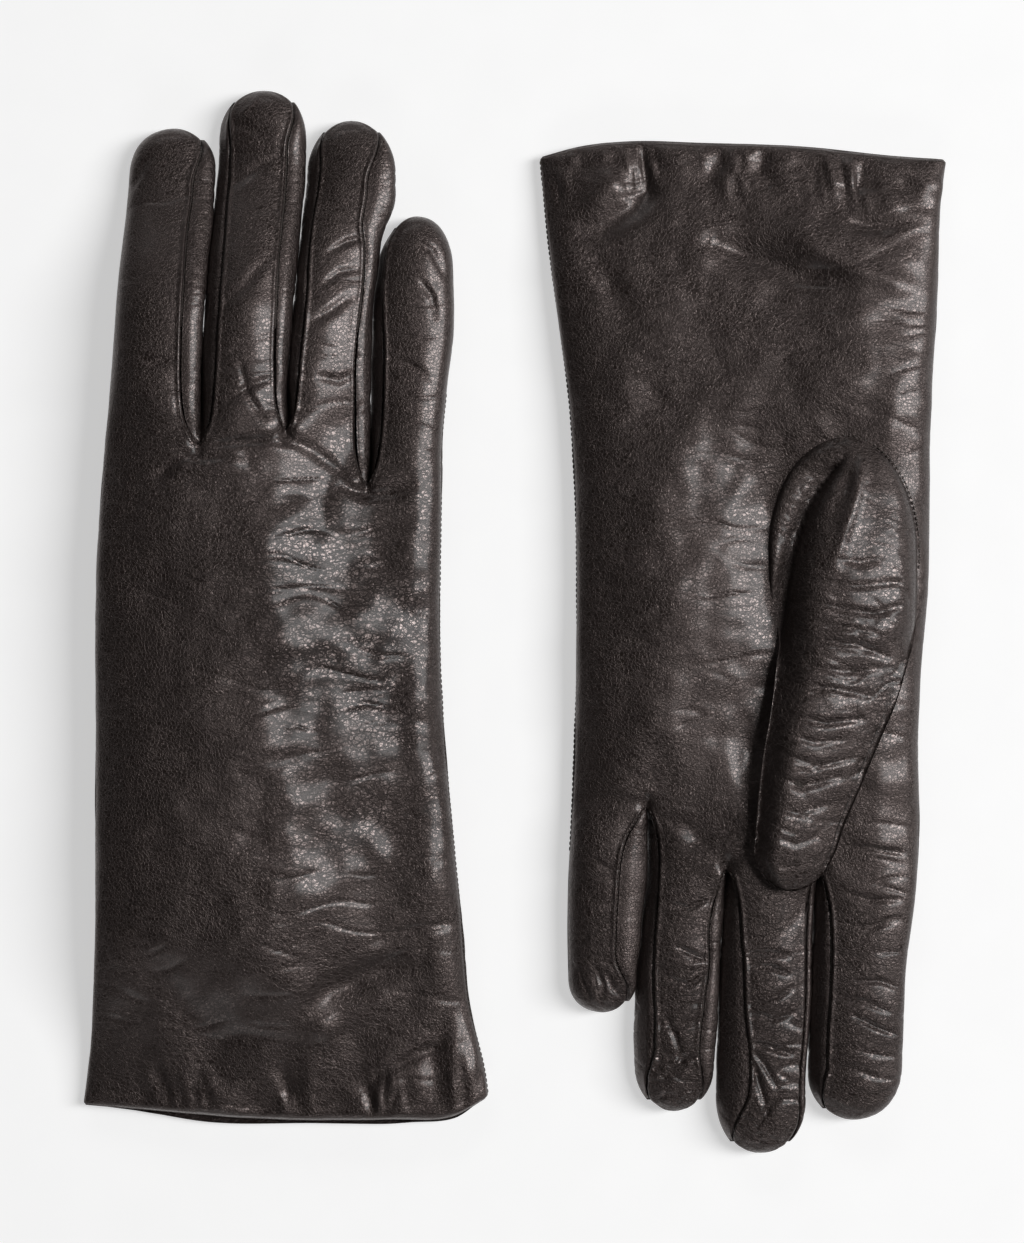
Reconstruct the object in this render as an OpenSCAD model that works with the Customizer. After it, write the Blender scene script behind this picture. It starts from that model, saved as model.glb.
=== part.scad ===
// A pair of lined dress gloves in nappa leather, lying side by side on a table.
// The right-hand glove lies back up with its fingers towards +Y and its thumb under the palm.
// The left-hand glove lies palm up with its fingers towards -Y and its thumb on the palm.
//
// One glove is described in its own frame: u runs across the hand from the index side to the
// little side, v runs from the cuff to the fingertips, and w is the height above the middle of
// the hand's thickness, positive towards the back of the hand.
// Every leather wall lies between one glove surface and the same surface moved inwards.

/* [Glove] */
// Width across the palm, laid flat
palm_width = 89; // [87:0.5:91]
// Width across the cuff edge, laid flat
cuff_width = 105; // [100:0.5:108]
// Height of the hand above what it lies on
hand_height = 13; // [12.5:0.1:14]
// Height of the hand at the cuff edge
cuff_height = 10.6; // [10:0.1:12]
// Height of a finger stall at its hinge line
finger_height = 11.8; // [11.4:0.1:12.4]
// Height of the thumb stall
thumb_height = 9; // [8.8:0.1:9.4]

/* [Reach] */
// From the glove's cross line to the cuff edge of the right-hand glove
right_cuff_reach = 130.5; // [125:0.5:134]
// From the glove's cross line to the cuff edge of the left-hand glove
left_cuff_reach = 125.5; // [120:0.5:134]
// From the cross line to the tip of the index finger
index_reach = 129; // [125:0.5:132]
// From the cross line to the tip of the middle finger
middle_reach = 138.3; // [134:0.1:141]
// From the cross line to the tip of the ring finger
ring_reach = 129; // [125:0.5:132]
// From the cross line to the tip of the little finger
little_reach = 104; // [101:0.5:107]
// From the thumb's pivot to its tip
thumb_reach = 75; // [70:0.5:76]

/* [Material] */
// Thickness of the leather
leather_t = 0.9; // [0.8:0.05:1]
// Thickness of the knitted lining
lining_t = 0.9; // [0.8:0.05:1]
// Diameter of the sewing thread
thread_d = 0.6; // [0.5:0.05:0.7]
// Thickness of the hem that is turned in at the cuff
hem_t = 0.8; // [0.6:0.1:0.9]

/* [Pair] */
// Distance between the middle lines of the two gloves
pair_spacing = 123; // [120:0.5:130]

/* [Hidden] */
INDEX = 0;
MIDDLE = 1;
RING = 2;
LITTLE = 3;
FINGERS = [INDEX, MIDDLE, RING, LITTLE];
FINGER_NAMES = ["index", "middle", "ring", "little"];
SIDES = ["right", "left"];

// Clearances
lining_gap = 0.25;    // between leather and lining
joint_gap = 0.7;      // between the hand and a finger stall at the hinge line
thumb_gap = 0.4;      // between the palm and the thumb that lies against it
web_gap = 0.5;        // half the distance between two neighbouring fingers at the crotch

// Finger centre lines: across the hand at the base line and at the tip
base_line = 60;
finger_base_u = [-30.8, -6.4, 15.6, 36.5];
finger_tip_u = [-27, -3, 19.2, 37.6];
finger_base_r = [12.3, 10.8, 10.2, 9.5];
finger_tip_r = [10.4, 10.8, 10.3, 8.8];
finger_reach = [index_reach, middle_reach, ring_reach, little_reach];
tip_round = 13;       // length over which a fingertip rounds off
hinge_v = [76, 76, 76, 61];

// Shares of the hand's width at the index side, the three crotches and the little side
share = [0, 0.283, 0.54, 0.787, 1];
// Where the fingers part, on the back and on the palm; the outer edges take the middle of both
back_crotch = [55, 46, 49, 37, 43];
palm_crotch = [55, 64, 64, 49, 43];

squareness = 0.7;     // exponent of the rounded finger section
seam_angle = 24;      // where the fourchette seam runs on a finger's section, from its side
seam_stop = 0.8;      // share of the finger's length at which its fourchettes end
edge_round = 8;       // width of the rounded edge of the hand's section

// The hand lies over the thumb on the right-hand glove
drape_rise = thumb_height + thumb_gap;

// Thumb frame: pivot, lean towards the middle finger and radius of its round root
thumb_pivot = [-25.5, -6];
thumb_lean = 12;
thumb_root_r = 17.5;
thumb_waist_r = 10.5;
thumb_hole_r = 11;
oval_centre = [-24.5, -18];
oval_u = 20;
oval_v = 30;
base_rise = 8.2;

// Sampling
hand_rows = [0, 0.105, 0.17, 0.26, 0.36, 0.48, 0.6, 0.72, 0.84, 0.93, 1];
lining_end_row = 8;   // the hand's lining ends where the fingers' sections begin
stub_rows = [0.5, 1];
finger_rows = [0, 0.2, 0.4, 0.6, 0.78, 0.88, 0.95, 0.985, 1];
hand_cols = 4;        // cells across one finger's share of the hand
finger_cols = 5;      // cells across one side of a finger stall
thumb_cols = 14;      // cells round the thumb

leather_colour = [0.16, 0.12, 0.11];
fold_colour = [0.13, 0.1, 0.09];
lining_colour = [0.24, 0.2, 0.18];
thread_colour = [0.09, 0.07, 0.06];

// ---- Small helpers ----

function clamp(x) = max(0, min(1, x));
function smooth(x) = let (c = clamp(x)) c * c * (3 - 2 * c);
function mix(a, b, t) = a + (b - a) * t;
function keep_sign_pow(x, e) = sign(x) * pow(abs(x), e);
function cuff_reach(side) = side == "right" ? right_cuff_reach : left_cuff_reach;

// ---- The hand's outline and height ----

function flare(v) = pow(clamp((-v - 20) / 110), 1.6);
function index_edge(v) = -0.51 * palm_width - 0.32 * (cuff_width - palm_width) * flare(v);
function little_edge(v) = 0.49 * palm_width + 0.68 * (cuff_width - palm_width) * flare(v);
function half_height(v) = v < 0
    ? mix(cuff_height, hand_height, smooth((v + 130) / 90)) / 2
    : mix(hand_height, finger_height, smooth(v / 76)) / 2;
function edge_profile(d, r) = d >= r ? 1 : sqrt(max(0, 1 - pow(1 - max(0, d) / r, 2)));

// How far the right-hand glove is lifted by the thumb beneath it
function drape(side, u, v) = side == "left" ? 0
    : drape_rise
        * (v < 0 ? smooth((v + 112) / 42) : 1 - smooth((v - 78) / 45))
        * (1 - smooth((u - 3) / 30));

// A glove point in the frame of its hand: z is 0 on the table for the right-hand glove, which
// lies on its palm, and 0 on the table for the left-hand glove, which lies on its back
function place(side, u, v, w, half) =
    [u, v, side == "right" ? half + w + drape(side, u, v) : w - half];

// Height of the hand's middle plane where the thumb passes through the palm
function hand_mid_z(side) = side == "right" ? drape_rise + hand_height / 2 : -hand_height / 2;

// ---- Fingers ----

function centre_u(k, v) =
    mix(finger_base_u[k], finger_tip_u[k], (v - base_line) / (finger_reach[k] - 10 - base_line));
function radius_u(k, v) =
    mix(finger_base_r[k], finger_tip_r[k], clamp((v - base_line) / (finger_reach[k] - 10 - base_line)));
function tip_factor(v, reach) =
    let (x = (v - (reach - tip_round)) / tip_round)
    x <= 0 ? 1 : sqrt(max(0.006, 1 - x * x));
function has_fourchette(k, at_low_side) = at_low_side ? k > INDEX : k < LITTLE;

// The v of row share s of a stall, on the surface moved inwards by d
function stall_v(k, s, d) =
    let (start = hinge_v[k] + joint_gap / 2)
    mix(start, finger_reach[k] - d, s);

// Finger k at row share s and at angle a round it, moved inwards by d; a = 0 is the index side,
// 90 the back, 180 the little side and -90 the palm. Every layer lies on the skin's own drape.
function finger_point(side, k, s, a, d) =
    let (v = stall_v(k, s, d))
    let (tip = tip_factor(v, finger_reach[k] - d))
    let (across = -tip * keep_sign_pow(cos(a), squareness))
    let (full = half_height(hinge_v[k]) * (1 - 0.1 * clamp((v - hinge_v[k]) / 50)))
    let (h = (full - d) * sqrt(tip))
    let (skin = place(side, centre_u(k, v) + radius_u(k, v) * across,
        stall_v(k, s, 0), h * keep_sign_pow(sin(a), squareness), full))
    [skin.x - d * across, v, skin.z];

function seam_at(k, s, at_low_side) =
    has_fourchette(k, at_low_side) ? seam_angle * clamp((seam_stop - s) / seam_stop + 0.12) : 0;
function wall_angle(k, s, c) =
    let (low = s >= seam_stop ? 0 : seam_at(k, s, true))
    let (high = 180 - (s >= seam_stop ? 0 : seam_at(k, s, false)))
    mix(low, high, c / finger_cols);

// ---- Hand grid ----

// Seam angle at the sides of finger k's share of the hand
function share_angle(k, c) =
    let (low = has_fourchette(k, true) ? seam_angle * 1.12 : 0)
    let (high = 180 - (has_fourchette(k, false) ? seam_angle * 1.12 : 0))
    mix(low, high, c / hand_cols);

// Row i of the hand grid on the column c of finger k: hand rows, then stub rows to the hinge
function hand_v(side, k, c, i, crotch) =
    let (parting = mix(crotch[k], crotch[k + 1], c / hand_cols))
    i < len(hand_rows)
        ? mix(-cuff_reach(side), parting, hand_rows[i])
        : mix(parting, hinge_v[k] - joint_gap / 2, stub_rows[i - len(hand_rows)]);

// top is 1 on the back and -1 on the palm
function hand_point(side, k, c, i, crotch, top, d) =
    let (v = hand_v(side, k, c, i, crotch))
    let (a = share_angle(k, c))
    let (s = i < len(hand_rows) ? hand_rows[i] : 1)
    let (finger_like = smooth((s - 0.84) / 0.16))
    let (low = index_edge(v) + d)
    let (high = little_edge(v) - d)
    let (across = (1 - keep_sign_pow(cos(a), squareness)) / 2)
    let (from_u = mix(low, high, share[k]) + (k > INDEX ? web_gap : 0))
    let (to_u = mix(low, high, share[k + 1]) - (k < LITTLE ? web_gap : 0))
    let (flat_u = mix(from_u, to_u, across))
    let (half = half_height(v))
    let (flat_w = (half - d) * edge_profile(min(flat_u - low, high - flat_u), edge_round - d))
    let (round_u = centre_u(k, v) - (radius_u(k, v) - d) * keep_sign_pow(cos(a), squareness))
    let (round_w = (half - d) * keep_sign_pow(sin(a), squareness))
    place(side, mix(flat_u, round_u, finger_like), v,
        top * mix(flat_w, round_w, finger_like), half);

// ---- Solids between two grids of points ----

// faces of the solid between grid 0 and grid 1, each rows x cols points; cell(i, j) says which
// cells are there; a closed loop joins its last column to its first
function wall_faces(rows, cols, cell, loop) =
    let (cells_across = loop ? cols : cols - 1)
    let (id = function (g, i, j) g * rows * cols + i * cols + (j % cols))
    let (there = function (i, j)
        i >= 0 && i < rows - 1 && (loop || (j >= 0 && j < cells_across))
        && cell(i, (j + cells_across) % cells_across))
    let (quad = function (a, b, c, d) [[a, b, c], [a, c, d]])
    [
        for (i = [0 : rows - 2], j = [0 : cells_across - 1])
            if (there(i, j))
                each concat(
                    quad(id(0, i, j), id(0, i + 1, j), id(0, i + 1, j + 1), id(0, i, j + 1)),
                    quad(id(1, i, j), id(1, i, j + 1), id(1, i + 1, j + 1), id(1, i + 1, j)),
                    there(i - 1, j) ? [] :
                        quad(id(0, i, j), id(0, i, j + 1), id(1, i, j + 1), id(1, i, j)),
                    there(i + 1, j) ? [] :
                        quad(id(0, i + 1, j + 1), id(0, i + 1, j), id(1, i + 1, j), id(1, i + 1, j + 1)),
                    there(i, j - 1) ? [] :
                        quad(id(0, i + 1, j), id(0, i, j), id(1, i, j), id(1, i + 1, j)),
                    there(i, j + 1) ? [] :
                        quad(id(0, i + 1, j + 1), id(1, i + 1, j + 1), id(1, i, j + 1), id(0, i, j + 1))
                )
    ];

function flat_list(grid) = [for (row = grid) each row];

// Column numbers from the index side to the little side on the back, and home along the palm
function columns(cells, top) = top > 0 ? [0 : cells] : [cells : -1 : 0];

// outer and inner are grids of points; turned says that the outer grid runs the other way round
module wall(outer, inner, cell = function (i, j) true, loop = false, turned = false) {
    points = concat(flat_list(outer), flat_list(inner));
    faces = wall_faces(len(outer), len(outer[0]), cell, loop);
    polyhedron(points, turned ? [for (f = faces) [f[2], f[1], f[0]]] : faces);
}

// A thin thread along a list of points
module thread(path) {
    r = thread_d / 2;
    corners = [[r, 0], [0, r], [-r, 0], [0, -r]];
    last = len(path) - 1;
    along = [for (i = [0 : last])
        let (d = path[min(i + 1, last)] - path[max(i - 1, 0)]) d / norm(d)];
    ring = function (i)
        let (side = cross(along[i], [0, 0, 1]))
        let (n = side / norm(side))
        [for (c = corners) path[i] + n * c[0] + cross(n, along[i]) * c[1]];
    rings = [for (i = [0 : last]) ring(i)];
    faces = concat(
        [for (i = [0 : last - 1], j = [0 : 3])
            each [[i * 4 + j, i * 4 + (j + 1) % 4, i * 4 + 4 + (j + 1) % 4],
                  [i * 4 + j, i * 4 + 4 + (j + 1) % 4, i * 4 + 4 + j]]],
        [[3, 2, 1, 0]],
        [[last * 4, last * 4 + 1, last * 4 + 2, last * 4 + 3]]
    );
    polyhedron(flat_list(rings), faces);
}

// ---- Placing a glove ----

// The left-hand glove is turned over and turned round
module lay(side) {
    if (side == "right")
        translate([-pair_spacing / 2, 0, 0]) children();
    else
        translate([pair_spacing / 2, 0, 0]) rotate(180) mirror([0, 0, 1]) children();
}

// ---- Hand panels ----

module hand_panel(side, crotch, top) {
    rows = len(hand_rows) + len(stub_rows);
    // the back runs over from the index side and the palm runs home, as the lining's loop does
    fingers = top > 0 ? FINGERS : [LITTLE, RING, MIDDLE, INDEX];
    grid = function (d) [for (i = [0 : rows - 1]) [for (k = fingers, c = columns(hand_cols, top))
        hand_point(side, k, c, i, crotch, top, d)]];
    // the fingers part past the last hand row
    cell = function (i, j) i < len(hand_rows) - 1 || (j + 1) % (hand_cols + 1) != 0;
    wall(grid(0), grid(leather_t), cell);
}

module hand_back(side) {
    color(leather_colour) lay(side) hand_panel(side, back_crotch, 1);
}

module hand_palm(side) {
    color(leather_colour) lay(side) difference() {
        hand_panel(side, palm_crotch, -1);
        thumb_passage(side);
    }
}

// The V of leather at each crotch, where two fourchettes meet
module fourchette_base(side, k) {
    heights = [1, 0, -1];
    angle = seam_angle * 1.12;
    low_row = function (h) mix(palm_crotch[k + 1], back_crotch[k + 1], (h + 1) / 2);
    row = function (finger, low_side, s, d)
        [for (h = heights)
            let (v = mix(low_row(h), hinge_v[finger] - joint_gap / 2, s))
            let (a = low_side ? h * angle : 180 - h * angle)
            let (half = half_height(v))
            place(side, centre_u(finger, v) - (radius_u(finger, v) - d) * keep_sign_pow(cos(a), squareness),
                v, (half - d) * keep_sign_pow(sin(a), squareness), half)];
    grid = function (d) [
        row(k, false, 1, d), row(k, false, 0.5, d), row(k, false, d == 0 ? 0.02 : 0, d),
        row(k + 1, true, d == 0 ? 0.02 : 0, d), row(k + 1, true, 0.5, d), row(k + 1, true, 1, d)
    ];
    wall(grid(0), grid(leather_t));
}

module fourchette_bases(side) {
    color(fold_colour) lay(side)
        for (k = [INDEX : RING])
            fourchette_base(side, k);
}

// ---- Tubes inside the hand ----

// Row i round the whole hand, moved inwards by d: over the back and home along the palm
function hand_loop(side, i, d) = concat(
    [for (k = FINGERS, c = [0 : hand_cols]) hand_point(side, k, c, i, back_crotch, 1, d)],
    [for (k = [LITTLE : -1 : INDEX], c = [hand_cols : -1 : 0])
        if (!(k == LITTLE && c == hand_cols) && !(k == INDEX && c == 0))
            hand_point(side, k, c, i, palm_crotch, -1, d)]
);

module hand_tube(side, first_row, last_row, d, t) {
    wall([for (i = [first_row : last_row]) hand_loop(side, i, d)],
        [for (i = [first_row : last_row]) hand_loop(side, i, d + t)], loop = true);
}

// The round hole through which the thumb of the hand passes into the glove's thumb
module thumb_passage(side) {
    translate([thumb_pivot.x, thumb_pivot.y, -2 * hand_height])
        cylinder(h = 2 * hand_height + hand_mid_z(side), r = thumb_hole_r, $fn = 32);
}

module cuff_hem(side) {
    color(fold_colour) lay(side)
        hand_tube(side, 0, 1, leather_t + lining_gap, hem_t);
}

module hand_lining(side) {
    color(lining_colour) lay(side) difference() {
        hand_tube(side, 1, lining_end_row, leather_t + lining_gap, lining_t);
        thumb_passage(side);
    }
}

// ---- Finger stalls ----

// Back (top = 1) or palm (top = -1) wall of a finger stall
module finger_wall(side, k, top) {
    grid = function (d) [for (s = finger_rows) [for (c = columns(finger_cols, top))
        finger_point(side, k, s, top * wall_angle(k, s, c), d)]];
    wall(grid(0), grid(leather_t));
}

module finger_back(side, k) {
    color(leather_colour) lay(side) finger_wall(side, k, 1);
}

module finger_palm(side, k) {
    color(leather_colour) lay(side) finger_wall(side, k, -1);
}

// The strip of leather in the side of a finger
module fourchette(side, k, at_low_side) {
    rows = [for (s = finger_rows) if (s < seam_stop) s];
    grid = function (d) [for (s = rows) [for (h = [-1, 0, 1])
        let (a = h * seam_at(k, s, at_low_side))
        finger_point(side, k, s, at_low_side ? a : 180 - a, d)]];
    color(fold_colour) lay(side)
        wall(grid(0), grid(leather_t), turned = !at_low_side);
}

// Corner c of a finger's lining, inside corner c of the back or palm wall. At the sides it is
// drawn a little way in along the wall, so that the two layers' chords never cross.
function lining_point(side, k, s, top, c, d) =
    let (corner = finger_point(side, k, s, top * wall_angle(k, s, c), d))
    let (inner = c == 0 ? 1 : finger_cols - 1)
    c > 0 && c < finger_cols ? corner
        : mix(corner, finger_point(side, k, s, top * wall_angle(k, s, inner), d), 0.15);

module finger_lining(side, k) {
    grid = function (d) [for (s = finger_rows) concat(
        [for (c = [0 : finger_cols]) lining_point(side, k, s, 1, c, d)],
        [for (c = [finger_cols : -1 : 0]) lining_point(side, k, s, -1, c, d)])];
    color(lining_colour) lay(side)
        wall(grid(leather_t + lining_gap), grid(leather_t + lining_gap + lining_t), loop = true);
}

// ---- Thumb ----

// Height of the thumb's middle plane: it lies against the palm's outer face
function thumb_z(side) = side == "right"
    ? thumb_height / 2
    : -hand_height - thumb_gap - thumb_height / 2;

// Half width of the thumb at p along it from the pivot, on the surface moved inwards by d
function thumb_half_width(p, d) =
    let (reach = thumb_reach - d)
    let (root = thumb_root_r - d)
    p <= 0 ? sqrt(max(0.5, root * root - p * p))
    : mix(root, thumb_waist_r - d, smooth(p / 70)) * tip_factor(p, reach);
function thumb_half_height(p, d) =
    let (reach = thumb_reach - d)
    let (root = thumb_root_r - d)
    let (fade = p <= 0 ? sqrt(max(0.02, 1 - pow(p / root, 2))) : tip_factor(p, reach))
    (thumb_height / 2 - d) * sqrt(fade);

thumb_rows = [-1, -0.93, -0.75, -0.45, 0, 0.25, 0.5, 0.72, 0.85, 0.94, 0.985, 1];
function thumb_p(s, d) = s < 0 ? s * (thumb_root_r - d - 0.3) : s * (thumb_reach - d);
function thumb_ring(side, s, d) =
    let (p = thumb_p(s, d))
    [for (c = [0 : thumb_cols - 1])
        let (a = 360 * c / thumb_cols)
        [-thumb_half_width(p, d) * keep_sign_pow(cos(a), squareness), p,
            thumb_half_height(p, d) * keep_sign_pow(sin(a), squareness)]];

module at_thumb(side) {
    translate([thumb_pivot.x, thumb_pivot.y, thumb_z(side)])
        rotate(-thumb_lean)
            children();
}

module thumb_tube(side, d, t) {
    at_thumb(side) difference() {
        wall([for (s = thumb_rows) thumb_ring(side, s, d)],
            [for (s = thumb_rows) thumb_ring(side, s, d + t)], loop = true);
        cylinder(h = thumb_height, r = thumb_hole_r, $fn = 32);
    }
}

module thumb_stall(side) {
    color(leather_colour) lay(side) thumb_tube(side, 0, leather_t);
}

module thumb_lining(side) {
    color(lining_colour) lay(side) thumb_tube(side, leather_t + lining_gap, lining_t);
}

// The rounded root of the thumb, sewn into the oval hole in the palm
module thumb_base(side) {
    palm_z = side == "right" ? drape_rise : -hand_height;
    color(leather_colour) lay(side) translate([oval_centre.x, oval_centre.y, palm_z - 0.05])
        difference() {
            scale([oval_u, oval_v, base_rise]) sphere(r = 1, $fn = 28);
            scale([oval_u - leather_t, oval_v - leather_t, base_rise - leather_t])
                sphere(r = 1, $fn = 28);
            translate([thumb_pivot.x - oval_centre.x, thumb_pivot.y - oval_centre.y, -hand_height])
                cylinder(h = 2 * hand_height, r = thumb_root_r + 0.6, $fn = 48);
            translate([-50, -50, 0]) cube([100, 100, 50]);
            translate([-50, -4, -50]) cube([100, 100, 100]);
        }
}

// ---- Sewing thread that shows ----

// It runs down the little side from the finger to the cuff, just outside the two panels' edges
module side_seam_thread(side) {
    color(thread_colour) lay(side) thread([for (i = [0 : lining_end_row])
        let (v = hand_v(side, LITTLE, hand_cols, i, back_crotch))
        place(side, little_edge(v) + thread_d, v, 0, half_height(v))]);
}

module thumb_seam_thread(side) {
    palm_z = side == "right" ? drape_rise : -hand_height;
    color(thread_colour) lay(side) thread([for (a = [205 : 10 : 335])
        [oval_centre.x + (oval_u + thread_d) * cos(a), oval_centre.y + (oval_v + thread_d) * sin(a),
            palm_z - thread_d / 2 - 0.02]]);
}

// ---- The pair ----

for (s = SIDES) {
    hand_back(s);
    hand_palm(s);
    fourchette_bases(s);
    cuff_hem(s);
    hand_lining(s);
    side_seam_thread(s);
    thumb_seam_thread(s);
    thumb_base(s);
    thumb_stall(s);
    thumb_lining(s);
    for (k = FINGERS) {
        finger = str(s, "_", FINGER_NAMES[k]);
        finger_back(s, k);
        finger_palm(s, k);
        finger_lining(s, k);
    }
    fourchette(s, INDEX, false);
    fourchette(s, MIDDLE, true);
    fourchette(s, MIDDLE, false);
    fourchette(s, RING, true);
    fourchette(s, RING, false);
    fourchette(s, LITTLE, true);
}
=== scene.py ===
"""The looks of a pair of lined nappa dress gloves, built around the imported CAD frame.

Every leather piece is one grid of points on a smooth glove surface, pushed out by folds, creases
and seam welts. Lengths are in millimetres in a glove's own frame until world_of() turns them into
metres: u runs across the hand from the index side, v from the cuff to the fingertips, and w is the
height above the middle of the glove's thickness, positive towards the back of the hand.
"""

import math

import bpy
import numpy as np
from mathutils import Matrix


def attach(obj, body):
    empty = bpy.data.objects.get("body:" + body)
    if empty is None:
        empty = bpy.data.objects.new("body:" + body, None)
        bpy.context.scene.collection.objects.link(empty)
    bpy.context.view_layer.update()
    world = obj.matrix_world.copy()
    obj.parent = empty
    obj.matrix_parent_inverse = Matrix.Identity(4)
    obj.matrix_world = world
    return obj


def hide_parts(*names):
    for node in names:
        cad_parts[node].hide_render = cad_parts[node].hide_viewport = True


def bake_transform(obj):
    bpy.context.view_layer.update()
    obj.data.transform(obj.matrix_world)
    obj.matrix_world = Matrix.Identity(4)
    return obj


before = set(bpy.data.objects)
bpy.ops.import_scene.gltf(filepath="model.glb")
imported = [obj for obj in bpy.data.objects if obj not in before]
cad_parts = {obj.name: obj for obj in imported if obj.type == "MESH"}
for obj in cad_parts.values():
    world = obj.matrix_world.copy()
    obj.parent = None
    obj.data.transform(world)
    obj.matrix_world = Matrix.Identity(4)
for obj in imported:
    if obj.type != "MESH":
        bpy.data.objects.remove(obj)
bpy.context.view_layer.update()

MM = 0.001
SIDES = ("right", "left")
FINGERS = ("index", "middle", "ring", "little")
INDEX, MIDDLE, RING, LITTLE = range(4)
BACK, PALM = 1, -1
PAIR_SPACING = 123.0

STEP = 0.7  # distance between two rows of a leather grid
FINE_STEP = 0.5  # the same across a panel, on the fingers and on the thumb
LEATHER_T = 0.9
LINING_IN = 2.25  # from the hand's leather surface to its lining
FINGER_LINING_IN = 1.4  # the same in the fingers, which are flatter
LINING_T = 0.9
LINING_END = -112, 32  # the hand's lining, from the end of the hem to below the crotches
HEM_T = 0.8
HEM_ROWS = (0.12, 0.5, 1.0, 2, 4, 7, 10, 13, 16, 18.5)  # how far each row of the hem is turned in
DRAPE_RISE = 9.4  # the right-hand glove lies over its thumb
STRIP_PLACE = 300.0  # sets the strips' grain apart from the panels'

# ---- Outlines, as (v, u) points from cuff to fingertip ----

INDEX_EDGE = {
    "right": [(-131, -50.8), (-111, -48.2), (-81, -46.0), (-40, -45.6), (0, -45.6), (34, -44.2),
              (60, -41.9), (90, -39.8), (115, -38.0), (129, -37.6)],
    "left": [(-126, -52.4), (-108, -50.0), (-88, -49.3), (-60, -47.6), (-12, -46.7), (30, -44.1),
             (55, -44.4), (70, -43.5), (90, -41.0), (110, -40.2), (130, -39.6)],
}
LITTLE_EDGE = {
    "right": [(-131, 56.0), (-117, 54.3), (-100, 50.5), (-75, 48.2), (-47, 45.4), (-10, 43.0),
              (30, 43.0), (48, 43.3), (62, 44.7), (75, 46.3), (90, 46.2), (105, 45.6)],
    "left": [(-126, 54.8), (-107, 53.0), (-82, 50.0), (-54, 46.5), (-8, 44.6), (30, 45.2),
             (52, 46.1), (72, 47.0), (90, 46.9), (102, 46.6)],
}
# The two lines on each side of a gap between fingers: the high side of one, the low side of the next
HIGH_SIDE = {
    "right": {
        INDEX: [(45, -19.1), (60, -19.0), (80, -17.9), (100, -16.6), (113, -15.8), (129, -15.7)],
        MIDDLE: [(49, 3.1), (60, 2.9), (80, 4.6), (100, 6.2), (110, 7.3), (138, 7.8)],
        RING: [(35, 23.7), (50, 24.2), (70, 24.6), (80, 24.9), (90, 26.0), (98, 28.0), (104, 30.6),
               (114, 31.2), (130, 31.0)],
    },
    "left": {
        INDEX: [(45, -18.3), (60, -17.9), (80, -16.9), (100, -16.3), (113, -15.8), (130, -15.6)],
        MIDDLE: [(49, 5.6), (70, 6.0), (80, 6.8), (90, 7.2), (100, 7.5), (110, 8.0), (138, 8.2)],
        RING: [(36, 27.4), (50, 26.2), (60, 26.0), (70, 26.5), (80, 27.6), (90, 28.8), (100, 29.4),
               (127, 29.6)],
    },
}
LOW_SIDE = {
    "right": {
        MIDDLE: [(45, -18.5), (60, -18.4), (80, -17.2), (100, -15.9), (113, -15.0), (138, -13.8)],
        RING: [(49, 3.8), (60, 3.7), (80, 5.4), (100, 7.0), (110, 8.0), (130, 8.4)],
        LITTLE: [(35, 24.3), (50, 25.0), (70, 25.4), (80, 25.7), (90, 26.8), (105, 27.2)],
    },
    "left": {
        MIDDLE: [(45, -17.7), (60, -17.3), (80, -16.2), (100, -15.7), (115, -14.8), (138, -14.4)],
        RING: [(49, 6.2), (70, 6.7), (80, 7.5), (90, 7.9), (100, 8.2), (110, 8.9), (127, 9.2)],
        LITTLE: [(36, 28.0), (50, 26.8), (60, 26.6), (70, 27.2), (80, 28.3), (90, 29.5), (102, 29.9)],
    },
}
REACH = {"right": (128.4, 138.2, 130.4, 105.5), "left": (129.8, 138.4, 127.5, 101.8)}
TIP_LENGTH = {"right": (13, 13, 17, 14), "left": (15, 15, 15, 9.5)}
HINGE_V = (76, 76, 76, 61)
# Cuff edge, as (share of the width from the index side, v)
CUFF_EDGE = {
    ("right", BACK): [(0, -126.0), (0.2, -127.4), (0.45, -129.4), (0.75, -129.5), (0.92, -128.4),
                      (1, -124.0)],
    ("right", PALM): [(0, -126.0), (0.15, -128.0), (0.3, -130.6), (0.55, -131.0), (0.8, -130.7),
                      (0.93, -128.9), (1, -124.0)],
    ("left", PALM): [(0, -120.3), (0.12, -121.1), (0.35, -123.6), (0.6, -124.6), (0.78, -125.0),
                     (0.9, -123.7), (1, -121.2)],
    ("left", BACK): [(0, -120.3), (0.15, -120.9), (0.4, -122.8), (0.7, -123.9), (0.9, -123.0),
                     (1, -121.2)],
}
# Where neighbouring fingers part, from the index side to the little side
PARTING = {BACK: (52, 45.2, 49, 35, 42), PALM: (58, 64, 64, 48, 46)}
SHARE = (0, 0.283, 0.54, 0.787, 1)
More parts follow.
